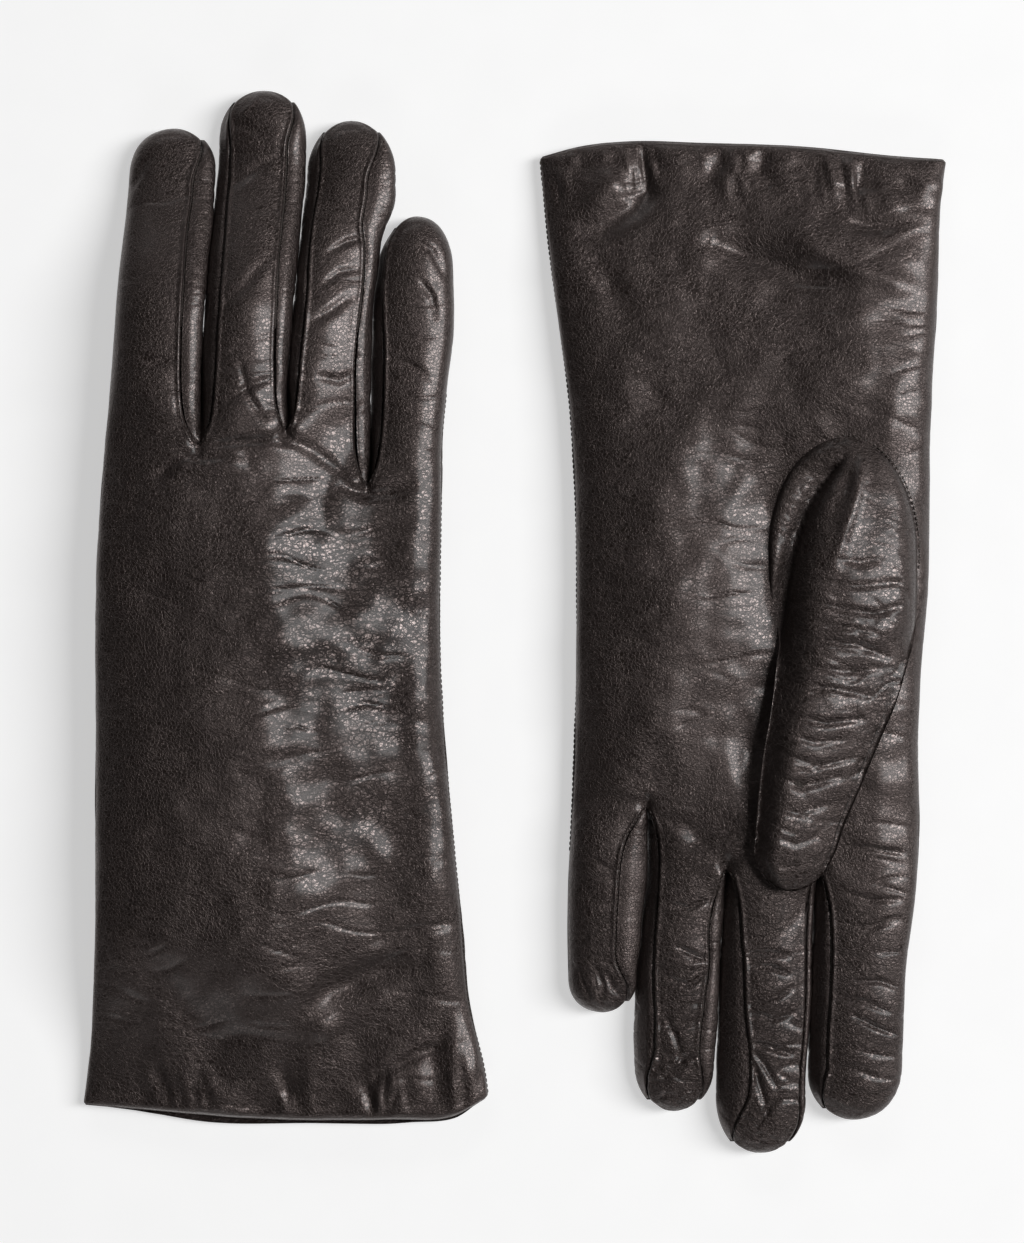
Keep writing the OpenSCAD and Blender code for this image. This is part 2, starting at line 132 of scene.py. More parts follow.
# How far a fourchette seam lies in from its finger's side, as (v, inset): (low side, high side)
INSET = {
    BACK: (
        (None, [(60, 4.6), (75, 5.0), (90, 5.3), (100, 5.6), (112, 5.2), (127, 5.6)]),
        ([(60, 3.8), (80, 3.6), (100, 3.3), (120, 2.5)],
         [(55, 2.8), (63, 2.6), (70, 3.1), (80, 3.7), (90, 4.1), (120, 4.3)]),
        ([(60, 3.2), (80, 3.0), (100, 2.6), (110, 2.7), (120, 3.5)],
         [(50, 3.4), (70, 3.4), (80, 2.7), (90, 2.8), (98, 4.0), (104, 6.2), (125, 6.0)]),
        ([(45, 2.8), (70, 3.0), (80, 2.3), (90, 1.4), (100, 2.0)], None),
    ),
    PALM: (
        (None, [(66, 3.4), (80, 4.4), (100, 4.4), (120, 4.2)]),
        ([(68, 1.6), (90, 1.1), (120, 1.2)],
         [(68, 4.4), (80, 4.9), (90, 5.9), (100, 6.4), (110, 7.7), (120, 8.0), (130, 6.4)]),
        ([(68, 2.4), (76, 3.2), (90, 2.7), (100, 3.7), (118, 3.6)],
         [(55, 2.6), (70, 3.0), (80, 3.3), (90, 3.8), (110, 4.6), (118, 3.6)]),
        ([(50, 4.6), (56, 6.6), (62, 7.2), (70, 7.0), (80, 6.3), (88, 5.4), (94, 4.0)], None),
    ),
}
TOUCHING_GAP = 0.14  # between neighbouring fingers as far as they touch
TOUCH_END = {1: 106, 2: 100, 3: 100}  # where each gap begins to open
SIDE_LEAN = 1.5  # the gap isn't upright: each side leans over its neighbour
# How far in the hand's leather begins to roll over towards its index and little edges
EDGE_ROLL = {
    ("right", BACK): (25, 9), ("right", PALM): (9, 9),
    ("left", PALM): (12, 17), ("left", BACK): (9, 9),
}
SEAM_END = 3.0  # a fourchette ends this far from the fingertip
# Each fourchette's finger, whether it is on the finger's index side, and its name
FOURCHETTES = (
    (INDEX, False, "index_fourchette"),
    (MIDDLE, True, "middle_fourchette_index_side"),
    (MIDDLE, False, "middle_fourchette_ring_side"),
    (RING, True, "ring_fourchette_middle_side"),
    (RING, False, "ring_fourchette_little_side"),
    (LITTLE, True, "little_fourchette"),
)


# ---- Numbers ----

def clamp(x):
    return np.clip(x, 0.0, 1.0)


def smooth(x):
    """A step from 0 at 0 to 1 at 1 with level ends."""
    c = clamp(x)
    return c * c * (3 - 2 * c)


def mix(a, b, t):
    """From a, where t is 0, to b, where it is 1."""
    return a + (b - a) * t


def curve(points, x):
    """A smooth line through (x, y) points, level beyond its ends."""
    px, py = np.array(points, float).T
    slope = np.gradient(py, px)
    i = np.clip(np.searchsorted(px, x) - 1, 0, len(px) - 2)
    h = px[i + 1] - px[i]
    t = clamp((x - px[i]) / h)
    return (
        (1 + 2 * t) * (1 - t) ** 2 * py[i]
        + t * (1 - t) ** 2 * h * slope[i]
        + t * t * (3 - 2 * t) * py[i + 1]
        + t * t * (t - 1) * h * slope[i + 1]
    )


def fade(t):
    """A step from 0 to 1 whose slope and bend are both smooth at its ends."""
    return t**3 * (6 * t * t - 15 * t + 10)


def noise(x, y, seed):
    """Seeded gradient noise, about -1 to 1, one feature per unit."""
    x, y = np.broadcast_arrays(x + 0.37 * seed, y + 0.71 * seed)
    ix = np.floor(x).astype(np.int64)
    iy = np.floor(y).astype(np.int64)
    fx = x - ix
    fy = y - iy
    total = np.zeros(x.shape)
    for dx in (0, 1):
        for dy in (0, 1):
            n = ((ix + dx) * 374761393 + (iy + dy) * 668265263 + seed * 974634777) & 0xFFFFFFFF
            n = ((n ^ (n >> 13)) * 1274126177) & 0xFFFFFFFF
            turn = (n ^ (n >> 16)) / 2**32 * 2 * math.pi
            weight = fade(1 - np.abs(fx - dx)) * fade(1 - np.abs(fy - dy))
            total += weight * (np.cos(turn) * (fx - dx) + np.sin(turn) * (fy - dy))
    return total * 1.5


def creases(u, v, seed, length, spacing, width):
    """Fine valleys, 0 to 1, running across the glove; they wander, fork and fade."""
    bent_u = u + 4 * noise(u / 13, v / 13, seed + 1)
    bent_v = v + 2.6 * noise(u / 16, v / 9, seed + 2)
    line = noise(bent_u / length, bent_v / spacing, seed)
    patch = smooth(0.5 + 1.6 * noise(u / 17, v / 13, seed + 3))
    return np.exp(-((line * spacing / width) ** 2)) * patch


def near_line(u, v, points):
    """Distance to a line of (v, u) points, and the share of the way along it."""
    best = np.full(np.shape(u), 1e9)
    share = np.zeros(np.shape(u))
    last = len(points) - 1
    for i in range(last):
        (v0, u0), (v1, u1) = points[i], points[i + 1]
        t = clamp(((u - u0) * (u1 - u0) + (v - v0) * (v1 - v0)) / ((u1 - u0) ** 2 + (v1 - v0) ** 2))
        d = np.hypot(u - mix(u0, u1, t), v - mix(v0, v1, t))
        closer = d < best
        best = np.where(closer, d, best)
        share = np.where(closer, (i + t) / last, share)
    return best, share


# ---- Folds that lie on the leather: (points as (v, u), height, half width) ----

FOLDS = {
    ("right", BACK): [
        ([(-100, 8), (-95, 15), (-91, 25), (-89, 36)], -1.7, 3.6),
        ([(-106, 12), (-101, 20), (-97, 30)], 0.8, 4.0),
        ([(-80, -38), (-92, -27), (-106, -18), (-118, -14)], -1.1, 6.0),
        ([(-122, 22), (-117, 28), (-114, 34), (-109, 44)], -0.9, 1.8),
        ([(-110, -20), (-107, -8), (-109, 4)], -0.5, 2.2),
        ([(-122, 24), (-127, 25)], -0.9, 1.6),
        ([(-122, 31), (-127, 30)], -0.7, 1.3),
        ([(-100, 46), (-110, 42), (-124, 42)], -0.7, 3.0),
        ([(-102, 12), (-108, 14)], 0.9, 4.5),
        ([(-114, 1), (-119, 3), (-124, 3)], -0.8, 2.6),
        ([(-121, -16), (-126, -12)], 0.5, 3.0),
        ([(-126, 12), (-106, 6), (-84, 2)], 2.0, 13.0),
        ([(-127, -20), (-118, -12), (-112, -6)], 0.8, 6.0),
        ([(-128, 30), (-118, 32), (-108, 30)], 1.1, 7.0),
        ([(-30, -28), (0, -34), (30, -30)], -1.0, 9.0),
        ([(-84, 22), (-80, 36), (-78, 46)], -0.6, 1.6),
        ([(45, -17), (46, -8), (47, 0)], -1.2, 1.3),
        ([(44, -24), (41.5, -18), (42.5, -11)], -0.7, 1.3),
        ([(40, -26), (39, -18), (40.5, -8)], 0.5, 1.8),
        ([(35, 18), (32.5, 24), (33.5, 31), (35, 35)], -1.1, 1.5),
        ([(43, -21), (40, -26), (36, -30)], -0.6, 1.5),
        ([(36, 14), (29, 12), (20, 13)], -0.5, 3.0),
        ([(48, 2), (44, 10), (38, 18)], -0.6, 1.8),
        ([(-30, -34), (0, -30), (30, -26)], 1.0, 12.0),
        ([(-20, 14), (10, 10), (30, 4)], 0.7, 14.0),
        ([(-22, 30), (-10, 34), (2, 38)], -0.7, 4.0),
        ([(80, -13), (86, -7), (94, -1)], -0.5, 1.6),
        ([(56, -12), (60, -6), (62, -1)], -0.6, 1.1),
        ([(52, -2), (58, -6), (66, -8)], -0.5, 1.0),
        ([(77, 10), (80, 15), (84, 20)], -0.6, 1.4),
        ([(86, 12), (90, 17), (91, 22)], -0.4, 1.0),
        ([(95, 14), (98, 19), (99, 23)], -0.5, 1.0),
        ([(63, 12), (62, 17), (64, 21)], -0.5, 1.1),
        ([(113, -11), (117, -5), (120, 1)], -0.5, 1.6),
        ([(131, -9), (134, -6), (137, -4)], 0.35, 0.8),
        ([(129, -10), (127, -6), (128, 0)], -0.4, 1.4),
        ([(68, 31), (66, 36), (63, 40)], -0.4, 1.2),
        ([(88, 38), (84, 41), (79, 42)], -0.5, 1.0),
        ([(98, 37), (96, 41), (90, 44)], -0.5, 1.2),
        ([(68, -34), (66, -30), (67, -26)], -0.4, 1.0),
        ([(112, -37), (118, -34), (122, -31)], -0.4, 1.2),
    ],
    ("left", PALM): [
        ([(-98, 10), (-94, -2), (-90, -12), (-90, -20)], -1.7, 3.4),
        ([(-98, -12), (-92, -25), (-87, -40)], 1.4, 3.2),
        ([(-125, 28), (-118, 27), (-112, 27), (-107, 30), (-102, 38), (-100, 45)], -2.0, 3.4),
        ([(-122, 38), (-114, 36), (-108, 41)], 0.9, 3.0),
        ([(-122, -4), (-117, -3), (-113, -6)], -1.0, 2.2),
        ([(-104, -2), (-101, -14), (-97, -30), (-94, -42)], 1.0, 4.0),
        ([(-120, -30), (-115, -32), (-112, -28)], -0.7, 2.4),
        ([(-95, 40), (-86, 36), (-78, 30)], -1.2, 4.0),
        ([(-103, -26), (-102, -34), (-104, -42)], -0.8, 2.0),
        ([(47, 28), (46, 35), (46, 44)], -0.8, 1.6),
        ([(50, 26), (52, 18), (58, 10)], -0.9, 2.6),
        ([(62, 6), (60, 2), (56, -2)], -0.8, 2.0),
        ([(-47, -20), (-42, -12), (-34, -7), (-20, -4), (-6, -5), (8, -8), (36, -4)], -2.3, 8.0),
        ([(-40, 20), (0, 22), (40, 22)], 0.5, 12.0),
        ([(20, 4), (34, 0), (44, 2)], -0.6, 3.0),
        ([(-50, 18), (-20, 21), (30, 20)], 1.6, 13.0),
        ([(-96, -30), (-70, -26), (-56, -30)], 1.3, 13.0),
        ([(73, 21), (74, 16), (72, 11)], -0.7, 0.8),
        ([(84, 19), (86, 15), (87.5, 11)], -0.7, 0.8),
        ([(88, 20), (89, 15), (88.5, 12)], 0.4, 0.9),
        ([(92, 22), (94, 16), (91.5, 11)], -0.7, 0.8),
        ([(102, 22), (108, 19), (115, 17)], -0.6, 0.9),
        ([(118, 22), (114, 18), (112, 15)], -0.5, 0.9),
        ([(86, 0), (85.5, -5), (86.5, -10)], -0.6, 0.8),
        ([(89, -1), (89.5, -6), (91, -10)], -0.7, 0.8),
        ([(99, 0), (97.5, -6), (95, -11)], -0.5, 0.8),
        ([(101, -1), (103, -6), (101.5, -11)], -0.6, 0.8),
        ([(109, 1), (110, -5), (112, -11)], -0.9, 0.9),
        ([(110, 0), (115, -4), (120, -7)], -0.8, 0.9),
        ([(110, 1), (118, -2), (128, -5)], -0.8, 0.9),
        ([(122, -9), (126, -5), (131, -2)], -0.5, 0.8),
        ([(58, -26), (59, -34), (60, -40)], -0.6, 0.8),
        ([(70, -24), (72, -31), (72, -39)], -0.5, 0.9),
        ([(78, -23), (79, -30), (78, -37)], -0.4, 0.8),
        ([(93, -28), (93, -34), (95, -39)], -0.6, 0.8),
        ([(97, -23), (98, -29), (101, -36)], -0.5, 0.8),
        ([(102, -27), (105, -33), (107, -38)], -0.7, 0.8),
        ([(55, 31), (56, 28)], -0.5, 0.8),
        ([(63, 45), (62, 40), (64, 36)], -0.4, 0.9),
        ([(91, 37), (95, 35), (97, 33)], -0.7, 1.0),
        ([(89, 40), (94, 38), (98, 38)], -0.5, 1.0),
    ],
}


# Where the leather has creased most, and so where the shade painted in its creases is darkest: (u, v,
# radius, strength); everywhere else it is 0.3
WORN = {
    ("right", BACK): [(22, 12, 26, 0.9), (4, -2, 22, 0.6), (30, -30, 30, 0.5), (-18, 42, 11, 0.6),
                      (24, 33, 12, 0.8), (26, -60, 32, 0.4), (-5, 58, 14, 0.5), (-36, -115, 22, 0.4)],
    ("left", PALM): [(-25, 108, 22, 0.8), (-3, 118, 20, 1.0), (18, 112, 20, 0.9), (38, 88, 18, 0.6),
                     (0, 72, 20, 0.4), (20, 60, 16, 0.5), (10, -20, 60, 0.25)],
}


def wear(side, top, u, v):
    """How creased the leather is at (u, v), from 0 up to about 1.3."""
    total = np.full(np.shape(u), 0.3)
    for at_u, at_v, radius, strength in WORN.get((side, top), []):
        total = total + strength * np.exp(-((u - at_u) ** 2 + (v - at_v) ** 2) / radius**2)
    return np.minimum(total, 1.3)


def folded(side, top, u, v):
    """Height added by the listed folds."""
    total = np.zeros(np.shape(u))
    for points, height, width in FOLDS.get((side, top), []):
        d, share = near_line(u, v, points)
        taper = 0.35 + 0.65 * np.sin(math.pi * clamp(share)) ** 0.7
        total += height * taper * np.exp(-((d / width) ** 2))
    return total


def cuff_puckers(side, u, v, edge_v):
    """Small gathers that the hem draws in the leather beside the cuff edge."""
    off = v - edge_v
    along = 2.2 * noise(u / 14, 0.3 + 0 * u, 7) + u / 6.5 + off / 30
    gather = noise(along, off / 11, 8 if side == "right" else 18)
    depth = 0.7 if side == "right" else 1.1
    return depth * gather * np.exp(-(((off - 7) / 6) ** 2))


def cuff_roll(side, v, edge_v):
    """How much thinner the glove is where its leather turns over the cuff edge."""
    width = 2.2 if side == "right" else 4.0
    return 0.34 * (1 - clamp((v - edge_v) / width)) ** 2


def detail(side, top, u, v, on_finger, tip):
    """Height added to the leather at (u, v): broad waves, folds, then finer and finer creases."""
    seed = 11 + 40 * (side == "left") + 90 * (top == PALM)
    wave = 1.15 * noise(u / 34, v / 42, seed) + 0.62 * noise(u / 15, v / 17, seed + 1)
    wave += 0.26 * noise(u / 7, v / 7, seed + 2)
    deep = creases(u, v, seed + 3, 34, 8.0, 1.0)
    star = creases(u - v * 0.35, v + u * 0.4, seed + 20, 7, 4.2, 0.9) * tip
    palm_finger = on_finger * (top == PALM)
    return (
        wave * mix(1.0, 0.35, on_finger)
        + folded(side, top, u, v)
        - deep * mix(0.2, 0.12 + 0.2 * palm_finger, on_finger)
        - star * 0.34 * palm_finger
    )


# ---- The glove's smooth surface ----

def half_height(v):
    """Half the glove's thickness before the fingers part."""
    cuff_to_hand = mix(3.6, 6.3, smooth((v + 128) / 70))
    return np.where(v < 0, cuff_to_hand, mix(6.3, 5.9, smooth(v / 76)))


def drape(side, u, v):
    """How far the right-hand glove is lifted by the thumb beneath it."""
    if side == "left":
        return 0 * u
    along = np.where(v < 0, smooth((v + 124) / 46), 1 - smooth((v - 78) / 45))
    wander = 2.5 * np.sin(v / 21) + 3 * noise(u / 30, v / 22, 5)
    return DRAPE_RISE * along * (1 - fade(clamp((u + 15 + wander) / 53)))


def tip_factor(side, k, v):
    """How the finger narrows over its rounded tip, from 1 to 0."""
    length = TIP_LENGTH[side][k]
    x = clamp((v - (REACH[side][k] - length)) / length)
    return np.sqrt(np.maximum(0.0, 1 - x**2.5))


def gap_side(side, j, v, high):
    """The side of gap j that belongs to its low finger, or to its high one."""
    one = curve(HIGH_SIDE[side][j - 1], v)
    other = curve(LOW_SIDE[side][j], v)
    half = mix(TOUCHING_GAP / 2, (other - one) / 2, smooth((v - TOUCH_END[j]) / 12))
    return (one + other) / 2 + (half if high else -half)


def boundary(side, top, j, v):
    """Line j between two fingers' shares of the hand, below the place where they part."""
    low = curve(INDEX_EDGE[side], v)
    high = curve(LITTLE_EDGE[side], v)
    part = PARTING[top][j]
    crotch_u = (gap_side(side, j, part, False) + gap_side(side, j, part, True)) / 2
    return mix(mix(low, high, SHARE[j]), crotch_u, smooth((v - part + 60) / 60))


def finger_sides(side, top, k, v):
    """The low and high side of finger k, or of its share of the hand below the parting."""
    if k == INDEX:
        low = curve(INDEX_EDGE[side], v)
    else:
        apart = smooth((v - PARTING[top][k]) / 5)
        low = mix(boundary(side, top, k, v), gap_side(side, k, v, True), apart)
    if k == LITTLE:
        high = curve(LITTLE_EDGE[side], v)
    else:
        apart = smooth((v - PARTING[top][k + 1]) / 5)
        high = mix(boundary(side, top, k + 1, v), gap_side(side, k + 1, v, False), apart)
    middle = (low + high) / 2
    half = (high - low) / 2 * tip_factor(side, k, v)
    return middle - half, middle + half


def seam_inset(side, top, k, at_low, v):
    """How far the fourchette seam lies in from the finger's side."""
    points = INSET[top][k][0 if at_low else 1]
    if points is None:
        return np.zeros(np.shape(v))
    full = curve(points, v)
    part = PARTING[top][k if at_low else k + 1]
    end = REACH[side][k] - SEAM_END
    opening = 1 - np.exp(-np.maximum(0, v - part) / 5.5)
    return full * opening * smooth((end - v) / 13) ** 0.6


def crown(side, top, k, u, v, low, high):
    """The leather's height at (u, v) as a share of the half thickness, and its lean sideways."""
    x = clamp((u - low) / np.maximum(high - low, 1e-6))
    across = 2 * x - 1
    round_finger = np.maximum(0, 1 - np.abs(across) ** 2.15) ** 0.46
    fold = EDGE_ROLL[side, top]
    edge_low = clamp((u - curve(INDEX_EDGE[side], v)) / fold[0])
    edge_high = clamp((curve(LITTLE_EDGE[side], v) - u) / fold[1])
    flat_hand = np.sqrt(1 - (1 - edge_low) ** 2) * np.sqrt(1 - (1 - edge_high) ** 2)
    share = smooth(x)
    past = v - mix(PARTING[top][k], PARTING[top][k + 1], share)
    dimple = 0.3 * smooth((past + 5) / 5) * np.sin(math.pi / 2 * np.abs(across) ** 5) ** 2
    dimple = np.where((k == INDEX) & (x < 0.5) | (k == LITTLE) & (x > 0.5), 0, dimple)
    finger_lean = np.sign(across) * np.sqrt(1 - round_finger**2)
    parted = smooth(past / 10)
    height = mix(flat_hand * (1 - dimple), round_finger, parted)
    return height, mix(edge_low - edge_high, finger_lean, parted)


def thickness(side, k, v):
    """Half thickness at v on finger k's share, thinner towards the fingertip."""
    full = half_height(v) * (1 - 0.12 * clamp((v - 60) / 60))
    return full * np.sqrt(tip_factor(side, k, v))


def middle_z(side, k, v):
    """Height of the glove's middle plane above what it lies on."""
    full = half_height(v) * (1 - 0.12 * clamp((v - 60) / 60))
    return mix(thickness(side, k, v), full, 0.35)


def world_of(side, u, v, w, middle):
    """Glove point to a point in the row frame, in metres."""
    if side == "right":
        z = middle + w + drape(side, u, v)
        p = np.stack([u - PAIR_SPACING / 2, v, z], -1)
    else:
        p = np.stack([PAIR_SPACING / 2 - u, -v, middle - w], -1)
    p[..., 2] = np.maximum(p[..., 2], 0.05 + 0 * p[..., 2])
    return p * MM


def panel(side, top, k, x, v, inward=0.0, fine=True):
    """The back or palm leather of finger k's share: x is 0 to 1 from its low seam to its high one."""
    low, high = finger_sides(side, top, k, v)
    from_u = low + seam_inset(side, top, k, True, v)
    to_u = high - seam_inset(side, top, k, False, v)
    u = mix(from_u, to_u, x)
    share, out_u = crown(side, top, k, u, v, low, high)
    edge_v = curve(CUFF_EDGE[side, top], SHARE[k] + x * (SHARE[k + 1] - SHARE[k]))
    thick = thickness(side, k, v) * (1 - cuff_roll(side, v, edge_v))
    on_finger = smooth((v - PARTING[top][k]) / 14)
    tip = smooth((v - (REACH[side][k] - 26)) / 18)
    edge_fade = smooth(share / 0.5)
    rise = 0.0
    if fine:
        rise = detail(side, top, u, v, on_finger, tip) * mix(0.25, 1, edge_fade)
        rise = rise * tip_factor(side, k, v) ** 0.5
        rise = rise + cuff_puckers(side, u, v, edge_v) * edge_fade
        rise = rise - 0.7 * np.exp(-(((v - edge_v) / 0.45) ** 2))
        rise = rise + welt(top, k, u, v, from_u, to_u)
    rise = rise - inward
    w = top * (thick * share + rise * np.maximum(share, 0.25))
    return world_of(side, u + rise * out_u, v, w, middle_z(side, k, v)), (u, v, w)


def welt(top, k, u, v, from_u, to_u):
    """The sharp valley of a fourchette seam and the ridge of turned-in leather beside it."""
    total = 0.0
    for at_low, edge in ((True, from_u), (False, to_u)):
        if (k == INDEX and at_low) or (k == LITTLE and not at_low):
            continue
        part = PARTING[top][k if at_low else k + 1]
        strength = smooth((v - part + 1) / 3)
        d = np.abs(u - edge)
        total = total + strength * (
            -0.8 * np.exp(-((d / 0.38) ** 2)) + 0.34 * np.exp(-(((d - 0.95) / 0.5) ** 2))
        )
    return total


def fourchette_side(side, k, at_low, t, v, inward=0.0, fine=True):
    """The strip in the side of finger k: t is 0 at the back seam and 1 at the palm seam."""
    ends = {}
    for top in (BACK, PALM):
        low, high = finger_sides(side, top, k, v)
        inset = seam_inset(side, top, k, at_low, v)
        edge = low + inset if at_low else high - inset
        share, _ = crown(side, top, k, edge, v, low, high)
        ends[top] = (edge, top * thickness(side, k, v) * share, low if at_low else high)
    outer = mix(ends[BACK][2], ends[PALM][2], t)
    seam_u = mix(ends[BACK][0], ends[PALM][0], t)
    bulge = 1 - np.abs(2 * t - 1) ** 2.2
    u = mix(seam_u, outer, bulge) + SIDE_LEAN * (1 - 2 * t) * bulge * tip_factor(side, k, v)
    w = mix(ends[BACK][1], ends[PALM][1], t)
    out = -1 if at_low else 1
    rise = -0.8 * (np.exp(-((t / 0.07) ** 2)) + np.exp(-(((1 - t) / 0.07) ** 2)))
    rise = rise * smooth((v - 30) / 3)
    if fine:
        rise = rise + 0.25 * noise(t * 2.2, v / 9, 31 + k) - 0.16 * creases(t * 9, v, 35 + k, 9, 4, 0.5)
    rise = (rise - inward) * tip_factor(side, k, v) ** 0.5
    pushed_u = u + out * rise * bulge**0.3
    pushed_w = w * (1 - 0.05 * bulge) + np.sign(w) * rise * (1 - bulge) ** 2
    place = (u + STRIP_PLACE, v, w)
    return world_of(side, pushed_u, v, pushed_w, middle_z(side, k, v)), place


# ---- Grids and meshes ----

def unit(vectors):
    return vectors / np.maximum(np.linalg.norm(vectors, axis=-1, keepdims=True), 1e-12)


def normals_of(surface, a, b, step_a, step_b):
    """Unit normals of surface(a, b), from small steps along both; a stays within its range."""
    a0, a1 = np.maximum(a - step_a, a.min()), np.minimum(a + step_a, a.max())
    along = surface(a1, b)[0] - surface(a0, b)[0]
    down = surface(a, b + step_b)[0] - surface(a, b - step_b)[0]
    return unit(np.cross(along, down))


def facing(normals, axis, sign):
    """The normals, all turned over if on the whole they don't point to sign along axis."""
    return normals if np.sum(normals[..., axis]) * sign > 0 else -normals


def cells(index, loop=False):
    """Two triangles for each cell of a grid of vertex numbers."""
    if loop:
        index = np.hstack([index, index[:, :1]])
    a, b, c, d = index[:-1, :-1], index[1:, :-1], index[1:, 1:], index[:-1, 1:]
    quads = np.stack([a, b, c, d], -1).reshape(-1, 4)
    return whole(np.vstack([quads[:, [0, 1, 2]], quads[:, [0, 2, 3]]]))


def whole(triangles):
    """The triangles that have three different corners."""
    a, b, c = triangles.T
    return triangles[(a != b) & (b != c) & (c != a)]


def shell(outer_faces, count):
    """Faces of a sheet with thickness: outer skin, inner skin and the rim that joins them."""
    edges = np.vstack([outer_faces[:, [0, 1]], outer_faces[:, [1, 2]], outer_faces[:, [2, 0]]])
    forward = edges[:, 0] * count + edges[:, 1]
    back = edges[:, 1] * count + edges[:, 0]
    a, b = edges[~np.isin(back, forward)].T
    rim = np.vstack([np.stack([b, a, a + count], 1), np.stack([b, a + count, b + count], 1)])
    return np.vstack([outer_faces, outer_faces[:, ::-1] + count, rim])


def make_piece(name, points, faces, normals, place, material, creasing=0.6):
    """A mesh object from arrays; place is where each point lies on the leather, for its grain."""
    creasing = np.broadcast_to(creasing, len(points))
    used = np.unique(faces)
    renumber = np.zeros(len(points), np.int64)
    renumber[used] = np.arange(len(used))
    points, normals, place, faces = points[used], normals[used], place[used], renumber[faces]
    creasing = creasing[used]
    mesh = bpy.data.meshes.new(name)
    mesh.vertices.add(len(points))
    mesh.vertices.foreach_set("co", points.astype(np.float32).ravel())
    mesh.loops.add(faces.size)
    mesh.loops.foreach_set("vertex_index", faces.astype(np.int32).ravel())
    mesh.polygons.add(len(faces))
    mesh.polygons.foreach_set("loop_start", np.arange(0, faces.size, 3, dtype=np.int32))
    mesh.polygons.foreach_set("use_smooth", np.ones(len(faces), bool))
    mesh.update(calc_edges=True)
    attribute = mesh.attributes.new("leather_place", "FLOAT_VECTOR", "POINT")
    attribute.data.foreach_set("vector", place.astype(np.float32).ravel())
    attribute = mesh.attributes.new("creasing", "FLOAT", "POINT")
    attribute.data.foreach_set("value", creasing.astype(np.float32))
    mesh.normals_split_custom_set_from_vertices(normals.astype(np.float32))
    mesh.materials.append(material)
    piece = bpy.data.objects.new(name, mesh)
    bpy.context.scene.collection.objects.link(piece)
    return piece


def two_skins(name, outer, inner, normals, faces, place, material, creasing=0.6):
    """A sheet with thickness, from its outer skin's faces and both skins' points."""
    return make_piece(
        name,
        np.vstack([outer, inner]),
        shell(faces, len(outer)),
        np.vstack([normals, -normals]),
        np.vstack([place, place]),
        material,
        np.tile(np.broadcast_to(creasing, len(outer)), 2),
    )


def spaced(start, end, step=STEP):
    """Values from start to end about one step apart."""
    return np.linspace(start, end, max(3, int(abs(end - start) / step) + 2))


def across_columns(k):
    """x values across finger k's panel, closer at an outer fold and beside a seam."""
    width = (23, 20, 20, 19)[k]
    fold = 9 * (1 - np.cos(np.linspace(0, math.pi / 2, 4 + int(9 / FINE_STEP)))) / width
    seam = np.array([0, 0.3, 0.6, 0.95, 1.35, 1.8, 2.4]) / width
    low = fold if k == INDEX else seam
    high = 1 - (fold if k == LITTLE else seam)[::-1]
    return np.concatenate([low, spaced(low[-1], high[0], FINE_STEP / width)[1:-1], high])


def tip_rows(side, k):
    """v values from the hinge line to the tip, closer where the tip rounds off."""
    length = TIP_LENGTH[side][k]
    start = REACH[side][k] - length
    turn = np.linspace(0, math.pi / 2, 6 + int(1.3 * length / FINE_STEP))
    straight = spaced(HINGE_V[k], start, FINE_STEP)[:-1]
    return np.concatenate([straight, start + length * np.sin(turn)])


def panel_grid(side, top, k, x, v):
    """Outer and inner points, normals and places of one grid on the leather."""
    outer, place = panel(side, top, k, x, v)
    inner, _ = panel(side, top, k, x, v, inward=LEATHER_T, fine=False)

    def surface(a, b):
        return panel(side, top, k, a, b)

    normals = normals_of(surface, x, v, 0.004, 0.08)
    up = top if side == "right" else -top
    return outer, inner, facing(normals, 2, up), np.stack(place, -1)


def face_outward(faces, points, normals):
    """Turns the faces over if they look against the normals."""
    a, b, c = (points[faces[:, i]] for i in range(3))
    same = np.einsum("ij,ij->i", np.cross(b - a, c - a), normals[faces[:, 0]])
    return faces if np.sum(np.sign(same)) > 0 else faces[:, ::-1]


def place_of(side, top, place):
    """Moves a piece's leather places apart from the other pieces' ones."""
    shift = np.array([700.0 * (side == "left"), 0, 90.0 * (top == PALM)])
    return place + shift


def stacked(grids):
    """Outer points, inner points, normals and places of several grids, as four lists of points."""
    return [np.vstack([grid[i].reshape(-1, 3) for grid in grids]) for i in range(4)]


def sheet_piece(name, grids, index, side, top, material):
    """A leather sheet from grids whose vertex numbers are in index, with its inner skin."""
    outer, inner, normals, place = stacked(grids)
    crease_and_shade = wear(side, top, place[:, 0], place[:, 1])
    faces = face_outward(np.vstack([cells(i) for i in index]), outer, normals)
    place = place_of(side, top, place)
    return two_skins(name, outer, inner, normals, faces, place, material, crease_and_shade)


def spread(a, b):
    """Both arrays as full grids of their common shape."""
    return (array.copy() for array in np.broadcast_arrays(a, b))


def number_grid(shape, start):
    """Vertex numbers, row by row, from start on."""
    return start + np.arange(shape[0] * shape[1]).reshape(shape)


def hand_rows(side, top, k, x):
    """v values of one hand panel: from the cuff edge to the parting line, then to the hinge."""
    edge_v = curve(CUFF_EDGE[side, top], SHARE[k] + x * (SHARE[k + 1] - SHARE[k]))
    part = mix(PARTING[top][k], PARTING[top][k + 1], smooth(x))
    near_edge = np.array([0, 0.25, 0.5, 0.8, 1.2]) / 180
    below = np.concatenate([near_edge, spaced(near_edge[-1], 1, STEP / 180)[1:]])[:, None]
    above = spaced(0, 1, STEP / 30)[1:][:, None]
    v_below = mix(edge_v, part, below)
    v_above = mix(part, HINGE_V[k], above)
    return np.vstack([v_below, v_above]), len(below)


